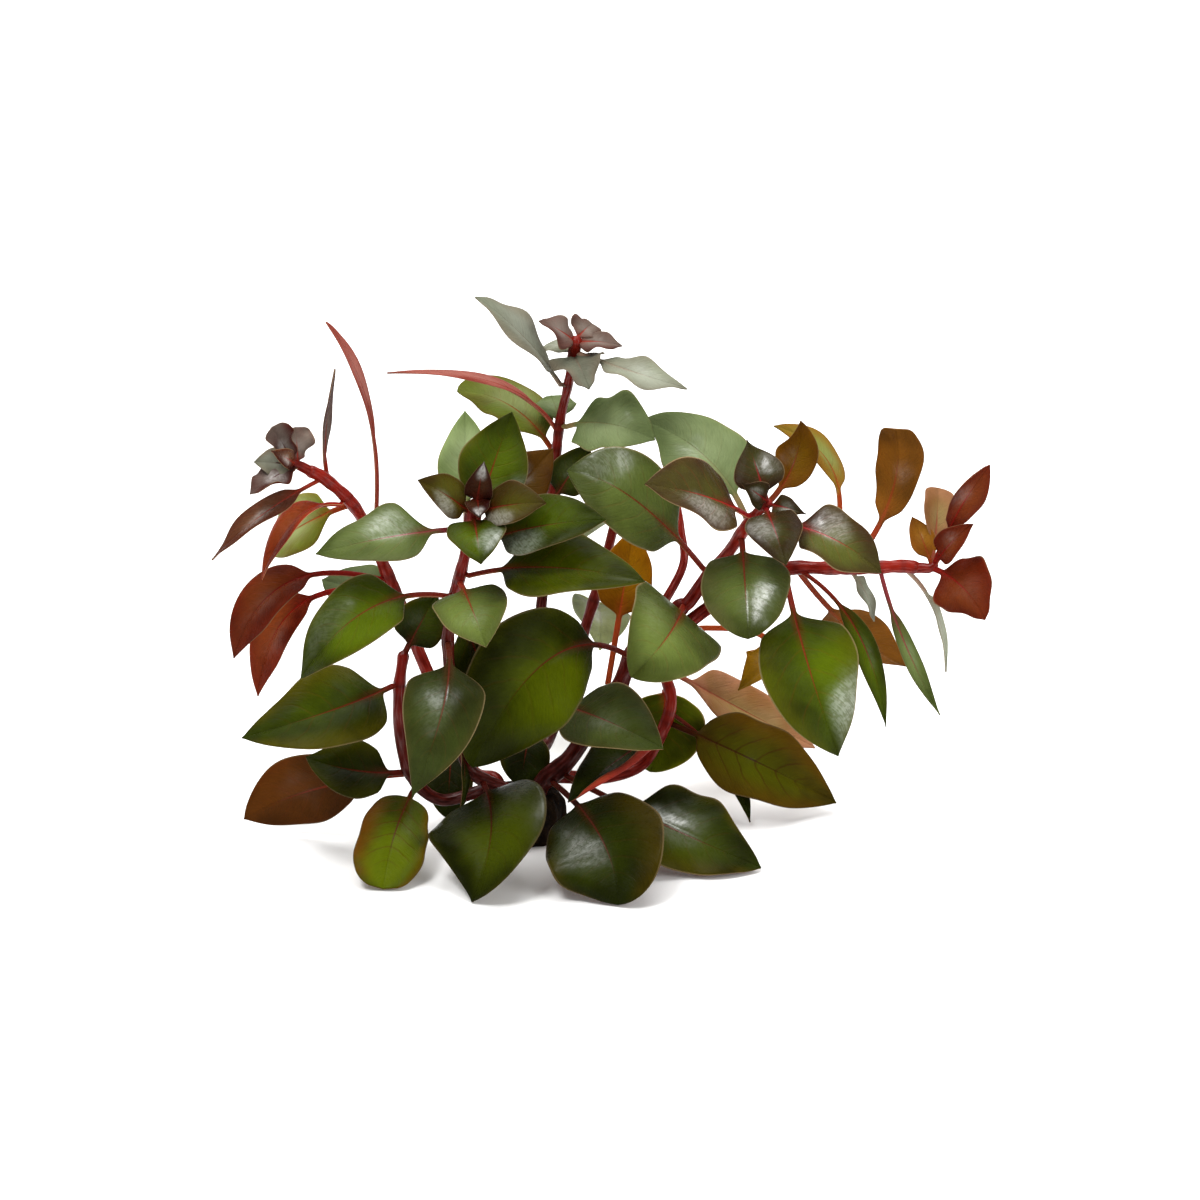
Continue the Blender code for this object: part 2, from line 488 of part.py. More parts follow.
def move_to(thing, collection):
    """Puts an object in one collection alone."""
    for held in list(thing.users_collection):
        held.objects.unlink(thing)
    collection.objects.link(thing)


def add_stem(stem, paths, plant):
    """A stem as a tapered tube, made a mesh with its caps welded."""
    path, radii = paths[stem.name]
    curve = bpy.data.curves.new(stem.name, "CURVE")
    curve.dimensions = "3D"
    curve.bevel_depth = 1.0
    curve.bevel_resolution = 2
    curve.use_fill_caps = True
    spline = curve.splines.new("POLY")
    spline.points.add(len(path) - 1)
    for point, place, radius in zip(spline.points, path, radii):
        point.co = (*place, 1)
        point.radius = radius
    guide = bpy.data.objects.new(stem.name + " guide", curve)
    bpy.context.scene.collection.objects.link(guide)
    bpy.context.view_layer.update()
    graph = bpy.context.evaluated_depsgraph_get()
    mesh = bpy.data.meshes.new_from_object(guide.evaluated_get(graph))
    bpy.data.objects.remove(guide)
    weld(mesh)
    mesh.name = stem.name
    tube = bpy.data.objects.new(stem.name, mesh)
    tube.data.materials.clear()
    tube.data.materials.append(finish_of(stem.finish))
    tube.data.shade_smooth()
    plant.objects.link(tube)
    return tube


def weld(mesh):
    """Joins the loose caps of a tube to its wall."""
    shape = bmesh.new()
    shape.from_mesh(mesh)
    bmesh.ops.remove_doubles(shape, verts=shape.verts, dist=0.00001)
    bmesh.ops.recalc_face_normals(shape, faces=shape.faces)
    shape.to_mesh(mesh)
    shape.free()


def add_leaf(leaf, paths, collection):
    """A leaf: a grid laid on the leaf's middle surface, with Solidify for its thickness."""
    shares = SMALL_ROWS
    if leaf.width > SMALL_WIDTH:
        shares = BROAD_ROWS if leaf.width > BROAD_WIDTH else MEDIUM_ROWS
    rows = (0.0, *(leaf.stalk + (1 - leaf.stalk) * share for share in shares))
    mesh = bpy.data.meshes.new(leaf.name)
    shape = bmesh.new()
    bmesh.ops.create_grid(shape, x_segments=2, y_segments=len(rows) - 1, size=1)
    grid = np.array([vertex.co for vertex in shape.verts])
    steps = (grid[:, 1] + 1) / 2 * (len(rows) - 1)
    along = np.interp(steps, range(len(rows)), rows)
    places = leaf_surface(leaf, leaf_foot(leaf, paths), grid[:, 0], along)
    for vertex, place in zip(shape.verts, places):
        vertex.co = place
    shape.to_mesh(mesh)
    shape.free()
    blade = bpy.data.objects.new(leaf.name, mesh)
    wall = blade.modifiers.new("thickness", "SOLIDIFY")
    wall.thickness = LEAF_THICKNESS
    wall.offset = 0
    mesh.materials.append(finish_of(leaf.finish))
    mesh.shade_smooth()
    collection.objects.link(blade)
    return blade


def main():
    for held in list(bpy.data.objects):
        bpy.data.objects.remove(held)
    scene = bpy.context.scene.collection
    plant = bpy.data.collections.new("ludwigia repens")
    scene.children.link(plant)
    add_crown(plant)
    paths = stem_paths()
    for stem in STEMS:
        tube = add_stem(stem, paths, plant)
        grown = [leaf for leaf in LEAVES if leaf.stem == stem.name and not leaf.own]
        if grown:
            held = bpy.data.collections.new(stem.name + " young leaves")
            scene.children.link(held)
            for leaf in grown:
                blade = add_leaf(leaf, paths, held)
                blade.hide_render = True
                blade.display_type = "WIRE"
            union = tube.modifiers.new("young leaves", "BOOLEAN")
            union.operation = "UNION"
            union.solver = "EXACT"
            union.operand_type = "COLLECTION"
            union.collection = held
    for leaf in LEAVES:
        if leaf.own:
            add_leaf(leaf, paths, plant)


main()
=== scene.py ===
import json
import math
from typing import NamedTuple

import bpy
import numpy as np
from bpy.props import FloatProperty, FloatVectorProperty, PointerProperty
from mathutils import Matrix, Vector

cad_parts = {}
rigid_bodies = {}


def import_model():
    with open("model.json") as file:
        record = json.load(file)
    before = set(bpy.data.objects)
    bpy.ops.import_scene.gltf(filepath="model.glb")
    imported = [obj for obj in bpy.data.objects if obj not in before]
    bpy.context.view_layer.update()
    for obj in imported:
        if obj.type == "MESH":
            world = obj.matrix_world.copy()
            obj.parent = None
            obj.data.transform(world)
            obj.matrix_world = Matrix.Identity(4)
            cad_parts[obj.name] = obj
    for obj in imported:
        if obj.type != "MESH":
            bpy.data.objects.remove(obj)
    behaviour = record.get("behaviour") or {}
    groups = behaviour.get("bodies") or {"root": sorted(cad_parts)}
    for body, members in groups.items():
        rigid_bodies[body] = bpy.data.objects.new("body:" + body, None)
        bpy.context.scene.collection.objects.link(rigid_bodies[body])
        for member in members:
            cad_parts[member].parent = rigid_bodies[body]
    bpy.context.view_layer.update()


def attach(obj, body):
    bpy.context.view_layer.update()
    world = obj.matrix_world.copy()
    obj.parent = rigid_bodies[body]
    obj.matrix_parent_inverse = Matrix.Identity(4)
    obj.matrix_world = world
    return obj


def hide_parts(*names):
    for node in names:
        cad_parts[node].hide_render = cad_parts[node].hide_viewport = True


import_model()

bl_info = {
    "name": "Red ludwigia clump",
    "version": (1, 0, 0),
    "blender": (4, 5, 0),
    "location": "View3D > Sidebar > Ludwigia",
    "description": "Adds the leaves, stems and crown of a red ludwigia clump over its solid frame",
    "category": "Add Mesh",
}

MM = 0.001

# The view in which places are read: pixels across and down, and millimetres back from the crown
VIEW_RISE = math.radians(20)
COSINE, SINE = math.cos(VIEW_RISE), math.sin(VIEW_RISE)
VIEW_DISTANCE = 900 * MM
VIEW_CENTRE = (14.3 * MM, 0.0, 44.7 * MM)
VIEW_MIDDLE = 600
VIEW_WIDTH = 1200
PIXELS_PER_METRE = 5600
VIEW_SCALE = PIXELS_PER_METRE * VIEW_DISTANCE
SENSOR = 36.0

# Soft lights: name, place from the middle of the view in metres, width in metres and power in watts
LIGHTS = (
    ("top light", (0.0, 0.35, 1.7), 1.6, 46.0),
    ("key light", (-0.5, -0.7, 1.5), 0.5, 18.0),
    ("fill light", (1.2, -1.1, 0.9), 0.9, 13.0),
)
ROOM_LIGHT = 0.6

# Sizes that the solid frame was built with
CROWN_RADIUS = 8.5 * MM
CROWN_HEIGHT = 8 * MM
GAP = 0.3 * MM
STALK_CLEARANCE = 0.65 * MM
STALK_WIDTH = 1.1 * MM
SMALL_STALK_WIDTH = 0.8 * MM
# Shares of a stem's radius between its foot and the crown below it, and the stem beside it
FOOT_RISE, FOOT_REST = 0.7, 0.75
# Where a stem's root lies inside the crown: shares of its foot's place and of the crown's height
ROOT_INWARD, ROOT_HEIGHT = 0.85, 0.6

# Finer sizes of the grown surfaces
TIP_WIDTH = 0.22 * MM
STALK_DEPTH = 0.42 * MM
RIB_DEPTH, RIB_REACH = 0.3 * MM, 0.55 * MM
GROOVE_DEPTH, GROOVE_REACH = 0.12 * MM, 0.4 * MM
DENT_DEPTH = 0.3 * MM
STEM_STEP = 0.5 * MM
STEM_SIDES = 28
CROWN_ROWS, CROWN_SIDES = 40, 96
# The crown's profile, from its cut underside to its top: shares of its height and of its radius
CROWN_RISES = (0, 0.12, 0.35, 0.6, 0.8, 0.93, 0.99, 1, 1)
CROWN_REACHES = (0.96, 1, 0.99, 0.97, 0.93, 0.84, 0.68, 0.4, 0.08)
# Lumps on the crown: height as a share of its radius, waves round it, turns over its height and phase.
# All of it is drawn in by another share.
CROWN_LUMPS = ((0.035, 5, 0, 1), (0.025, 11, 4, 0), (0.012, 23, -9, 0))
CROWN_INSET = 0.06
# Steps between two corners of a curve, and places on a stem among which a leaf's foot is looked for
CURVE_STEPS = 12
STEM_PLACES = 200
# Joints: reach of the swelling and the ring in millimetres, and the ring's depth as a share of the radius
SWELLING_REACH, RING_REACH, RING_DEPTH = 1.5, 0.45, 0.05
# Ridges round a stem, the phase that they gain over its length, and the direction they are counted from
STEM_RIDGES, RIDGE_TURN = 5, 6
TOWARDS_VIEW = (0.1, -0.85, 0.5)
# Length of a stem's rounded end in radii
STEM_END = 1.2
# Where a bowed leaf bends, as a share of its length, and where its neck starts, as a share of its blade
BEND_PLACE = 0.45
NECK_START = -0.04
# How much of the square of a blade's thickness is lost at its edge, and how many waves the edge has in
# width, slow and fast, and in height: the least and the most
EDGE_LOSS = 0.98
SLOW_WAVES, FAST_WAVES, RISING_WAVES = (0.9, 1.6), (2.2, 3.2), (1.2, 1.9)

# Widths of small and broad leaves in millimetres, and for each least width the rows along the blade and
# the points across each half of it
SMALL_WIDTH = 6.5
BROAD_WIDTH = 12
GRIDS = ((BROAD_WIDTH, 46, 13), (SMALL_WIDTH, 34, 10), (0, 26, 7))
STALK_ROWS = 7

# Outlines of a blade: how fast it widens at the foot, and how fast it narrows to the tip
OVATE = (0.62, 0.95)
ROUND = (0.55, 0.62)
ELLIPTIC = (0.85, 0.95)
NARROW = (1.0, 1.15)
DROP = (0.7, 1.15)
HEART = (0.14, 0.75)
FULL = (0.8, 0.72)
LATE = (1.1, 0.7)

# Side veins: how many each half of a blade has, and how far they lean to the tip
VEINS = 7
VEIN_LEAN = 0.26
VEIN_BEND = 1.35

# Skins: gloss all over, the wax's roughness, and relief
SHINE = 0.03
WAX_ROUGHNESS = 0.26
SKIN_RELIEF, SKIN_RELIEF_STRENGTH = 0.16 * MM, 0.8
BARK_RELIEF = 0.6 * MM
# The power of a leaf's tone, which is partly painted light and shade, on its underside where its upper side
# is seen
HIDDEN_TONE = 0.4
# Patterns of the skins in repeats per metre, from broad patches to fine grain
PAPER_CLOUDS = 30
WAX_AND_PAINTED_SHEEN_PATCHES = 80
GLOW_PATCHES = 100
COLOUR_PATCHES = 120
STEM_SCARS = 220
VEIN_BENDS = 260
BARK_LUMPS = 420
FINE_GRAIN = 1500
BARK_GRAIN = 1600
# Hair lines of a blade: repeats along its length, per millimetre from its midrib and over each half
HAIR_ALONG, HAIR_OUT, HAIR_SIDE = 70.0, 0.9, 2.0
# Streaks of a stem: repeats round half of it and per millimetre along it
STREAKS_ROUND, STREAKS_ALONG = 9.0, 0.35
# The lit zone of a blade, where light through it is painted, and its wax zone, which is coat gloss and a
# painted sheen: squares of their reach across and along it
LIT_SPREAD = (0.6, 0.12)
WAX_AND_PAINTED_SHEEN_SPREAD = (0.35, 0.06)
# An underside beside its upper side: its darker patches, its painted sheen and its roughness
UNDER_SHADE, UNDER_SHEEN, UNDER_ROUGHNESS = 0.72, 0.3, 0.5


class Look(NamedTuple):
    """A leaf's colours, each as red, green and blue of 255, how much of three of them shows, and how rough
    the leaf is. Glow is painted light that shows through the blade, and sheen a pale painted sheen laid where
    the leaf has wax. All but under, its underside's colour, are the leaf skin's inputs."""

    body: tuple
    shade: tuple
    glow: tuple
    sheen: tuple
    under: tuple
    rib: tuple = (128, 40, 26)
    rim: tuple = (150, 128, 92)
    flush: tuple = (150, 82, 10)
    sheen_share: float = 0.18
    rib_share: float = 0.8
    vein_share: float = 0.08
    roughness: float = 0.3


LOOKS = {
    "green": Look((56, 68, 6), (38, 44, 3), (88, 106, 8), (120, 130, 90), (110, 84, 40), flush=(88, 80, 8)),
    "bright": Look((54, 62, 3), (36, 40, 1), (106, 120, 4), (126, 136, 90), (118, 96, 40), flush=(96, 94, 6),
        sheen_share=0.11),
    "dark": Look((38, 46, 4), (24, 27, 2), (58, 68, 6), (96, 104, 74), (110, 52, 38), flush=(84, 66, 6),
        rib=(96, 34, 22)),
    "cool": Look((46, 54, 18), (34, 36, 10), (66, 76, 28), (110, 118, 92), (110, 52, 38), flush=(70, 58, 26),
        sheen_share=0.24, rib=(96, 40, 26)),
    "yellow": Look((84, 94, 3), (62, 64, 2), (116, 132, 4), (140, 148, 70), (128, 110, 40),
        flush=(150, 72, 4), sheen_share=0.06, vein_share=0.4, rib=(104, 34, 10)),
    "grey": Look((70, 80, 32), (52, 58, 18), (96, 110, 50), (150, 158, 132), (112, 84, 60),
        flush=(84, 80, 44), sheen_share=0.24),
    # Olive leaves with a strong pale grey painted sheen
    "silver": Look((84, 96, 44), (62, 72, 26), (112, 126, 72), (160, 170, 146), (112, 84, 60),
        flush=(100, 100, 70), sheen_share=0.42, rib=(140, 56, 60)),
    "hazy": Look((106, 120, 76), (84, 98, 54), (136, 150, 104), (160, 168, 142), (126, 132, 80),
        rib=(130, 110, 70), flush=(116, 128, 76), rib_share=0.3, sheen_share=0.17, roughness=0.5),
    "lime": Look((106, 122, 34), (98, 92, 24), (142, 150, 96), (160, 164, 130), (120, 112, 60),
        rib=(150, 56, 20), flush=(120, 84, 30), sheen_share=0.18, roughness=0.5),
    "pearl": Look((138, 142, 120), (118, 116, 98), (160, 164, 146), (196, 200, 186), (140, 134, 112),
        rib=(150, 120, 100), rim=(176, 168, 150), flush=(140, 124, 104), rib_share=0.4, roughness=0.45),
    "bronze": Look((70, 60, 12), (54, 34, 6), (88, 84, 22), (188, 186, 170), (116, 66, 26),
        flush=(78, 40, 16), sheen_share=0.45, rib=(120, 26, 18)),
    "umber": Look((112, 70, 2), (90, 50, 1), (122, 86, 3), (140, 120, 70), (110, 78, 4), flush=(118, 66, 2),
        rib=(130, 50, 20), sheen_share=0.06, roughness=0.42),
    "straw": Look((136, 118, 34), (128, 90, 24), (130, 144, 80), (160, 160, 120), (120, 100, 40),
        flush=(142, 92, 30), rib=(150, 56, 20), roughness=0.5),
    "rolled": Look((38, 46, 4), (24, 27, 2), (58, 68, 6), (110, 112, 90), (176, 58, 44), rim=(190, 120, 90),
        flush=(84, 66, 6), rib=(96, 34, 22)),
    # Dark red-brown bud leaves with a strong pale painted sheen
    "bud_painted_sheen": Look((60, 30, 16), (48, 14, 8), (80, 50, 30), (206, 202, 194), (110, 44, 28), flush=(60, 22, 14),
        sheen_share=0.8, roughness=0.28),
    # The green look with a stronger, paler painted sheen
    "green_painted_sheen": Look((56, 68, 6), (38, 44, 3), (88, 106, 8), (190, 200, 180), (110, 84, 40), flush=(88, 80, 8),
        sheen_share=0.38),
    "olive": Look((104, 92, 3), (84, 66, 2), (112, 118, 3), (120, 118, 50), (124, 74, 36), flush=(150, 92, 4),
        sheen_share=0.02, vein_share=0.5, rib=(88, 34, 6), roughness=0.42),
    "dusky": Look((52, 46, 18), (42, 24, 14), (66, 68, 26), (166, 160, 150), (110, 46, 34),
        flush=(62, 32, 20), sheen_share=0.3, rib=(128, 24, 24), roughness=0.26),
    "young": Look((72, 38, 22), (52, 18, 10), (96, 66, 42), (176, 166, 158), (118, 44, 28),
        flush=(60, 22, 14), sheen_share=0.36, roughness=0.28),
    "mauve": Look((104, 90, 80), (80, 48, 42), (126, 114, 104), (160, 152, 144), (112, 80, 66),
        flush=(84, 48, 40), sheen_share=0.17, rib=(140, 36, 20), roughness=0.36),
    "plum": Look((96, 84, 76), (66, 34, 28), (112, 102, 94), (180, 174, 168), (96, 34, 24),
        flush=(62, 16, 11), sheen_share=0.5, rib=(70, 18, 16), roughness=0.3),
    "pink": Look((164, 92, 80), (136, 58, 46), (176, 116, 104), (190, 150, 140), (164, 92, 80),
        flush=(150, 70, 60), sheen_share=0.17, rib=(150, 60, 46), roughness=0.36),
    "tan": Look((150, 104, 74), (126, 84, 46), (134, 118, 70), (170, 140, 110), (150, 104, 74),
        flush=(156, 100, 76), sheen_share=0.06, rib=(140, 70, 50), roughness=0.5),
    "amber": Look((140, 86, 22), (112, 62, 10), (156, 106, 30), (160, 124, 76), (140, 86, 22),
        flush=(140, 76, 18), rib=(150, 56, 26), rib_share=0.6, sheen_share=0.06, roughness=0.42),
    "orange": Look((104, 56, 10), (78, 36, 4), (126, 74, 14), (150, 110, 64), (104, 56, 10),
        flush=(112, 50, 10), rib=(140, 50, 26), rib_share=0.7, sheen_share=0.06, roughness=0.42),
    "red": Look((108, 36, 14), (74, 18, 7), (136, 66, 28), (160, 110, 88), (116, 40, 18), flush=(124, 34, 18),
        rib=(140, 26, 18), sheen_share=0.13, roughness=0.3),
}

# Stems: body, shade, light and young colour
STEM_LOOKS = {
    "maroon": ((64, 14, 8), (38, 8, 4), (100, 34, 22), (112, 22, 14)),
    "red": ((108, 22, 12), (72, 12, 7), (146, 54, 36), (128, 28, 16)),
}
# The crown's bark, its darker patches and its scars. The bark's near-black colour is partly its own and
# partly painted shade of the clump's shaded middle.
BARK_WITH_PAINTED_SHADE, BARK_SHADE, BARK_SCAR = (28, 18, 9), (12, 7, 4), (50, 38, 22)
FLOOR = (244, 244, 243)


class Stem(NamedTuple):
    """A stem: what it grows from and where (on the crown, or at a share of its parent's length), its route
    in the view, its radius at both ends in millimetres, and how many points its solid's path has."""

    name: str
    parent: str
    foot: tuple
    route: tuple
    radius: tuple
    points: int = 10
    finish: str = "maroon"


class Leaf(NamedTuple):
    """A leaf: its stem, the place on the stem that it grows from, its tip in the view and how far back that
    lies, its width, the way that its upper side faces, its look, and its tone, which scales how pale it is
    beside others of its look; the tone is partly the leaf's own paleness and partly painted light and shade.
    It bends through a middle point of the view, or by a bow. Stalk is the share of the length that is stalk,
    fold how far both halves fold up and twist how far it turns, in degrees, and neck the share of the blade
    over which its foot is drawn in. Ragged and wave are how far its edge strays in width and in height as
    shares of its half width, veined how deep its side veins are, curl how far its left and right edges roll
    up, in degrees, and flush how coloured they are. Lit is how much painted light shows through it, and gloss
    how much wax coat it has, which also lays a pale painted sheen into its colour, each about a place across
    and along the blade. Finish, its material slot where that isn't its look's, is not used here, and own is
    whether it is a piece of its own and not part of its stem's."""

    name: str
    stem: str
    near: tuple
    tip: tuple
    back: float
    width: float
    faces: tuple
    look: str
    tone: float
    middle: tuple = ()
    bow: float = 0.12
    stalk: float = 0.14
    fold: float = 10
    twist: float = 0
    outline: tuple = OVATE
    finish: str = ""
    own: bool = True
    neck: float = 0.16
    ragged: float = 0.025
    wave: float = 0.07
    veined: float = 0.4
    curl: tuple = (0, 0)
    flush: tuple = (0, 0)
    lit: float = 0.6
    lit_at: tuple = (0.2, 0.5)
    gloss: float = 0.5
    gloss_at: tuple = (-0.2, 0.5)


def small(*row, **values):
    """A leaf that is part of its stem's piece."""
    return Leaf(*row, own=False, **values)


STEMS = (
    Stem("left_stem", "crown", (-4.6, 1.6), ((470, 768, 6), (436, 692, 12), (410, 630, 15), (388, 575, 14),
         (359, 513, 10), (328, 481, 7), (306, 469, 5)), (1.25, 1.0), 14, "red"),
    Stem("lower_left_stem", "crown", (-4.8, -2.6), ((442, 800, -7), (412, 776, -9), (400, 735, -10),
         (399, 690, -9), (404, 650, -7)), (1.15, 0.95), 9),
    Stem("centre_stem", "crown", (-1.4, -4.4), ((470, 770, -8), (455, 710, -11), (448, 643, -13),
         (454, 600, -14), (463, 563, -15), (471, 527, -16)), (1.15, 0.95), 11),
    Stem("top_stem", "crown", (0.2, 3.0), ((528, 760, 5), (532, 700, 8), (540, 620, 14), (550, 520, 20),
         (559, 429, 24), (567, 390, 24), (572, 362, 23)), (1.2, 0.75), 13),
    Stem("right_stem", "crown", (3.6, -1.6), ((570, 758, -1), (600, 712, 4), (618, 690, 6), (634, 652, 7),
         (660, 622, 6), (688, 602, 4)), (1.6, 1.4), 11),
    Stem("right_branch", "right_stem", (1.0,), ((707, 577, 2), (728, 553, -1), (745, 528, -4),
         (757, 513, -6)), (1.25, 0.95), 7, "red"),
    Stem("right_runner", "right_stem", (0.9,), ((716, 603, 3), (769, 576, 1), (793, 568, 0), (831, 568, -1),
         (879, 567, -2), (903, 566, -2), (921, 568, -2)), (1.25, 1.05), 12, "red"),
    Stem("upper_stem", "right_stem", (0.84,), ((683, 566, 13), (681, 530, 16), (676, 500, 19)), (0.85, 0.7),
         6, "red"),
    Stem("curved_stem", "crown", (4.4, 2.4), ((600, 778, 5), (640, 766, 7), (660, 736, 8), (671, 705, 9),
         (667, 682, 11), (652, 655, 14)), (1.3, 0.9), 11, "red"),
    Stem("back_stem", "crown", (0.2, 5.2), ((548, 740, 22), (575, 660, 31), (600, 580, 37), (618, 510, 40),
         (630, 462, 41)), (1.3, 0.8), 10),
    Stem("left_tip", "left_stem", (1.0,), ((296, 464, 4), (289, 462, 3.5)), (0.95, 0.6), 3, "red"),
    Stem("centre_tip", "centre_stem", (1.0,), ((474, 512, -16), (478, 498, -15.5)), (1.35, 1.3), 3, "red"),
    Stem("top_tip", "top_stem", (1.0,), ((575, 348, 22.5), (577, 336, 22)), (0.85, 1.1), 3, "red"),
    Stem("right_tip", "right_branch", (1.0,), ((765, 507, -7), (771, 500, -7.5)), (0.9, 0.6), 3, "red"),
    Stem("runner_tip", "right_runner", (1.0,), ((930, 568, -2), (938, 562, -2)), (1.0, 0.6), 3, "red"),
)

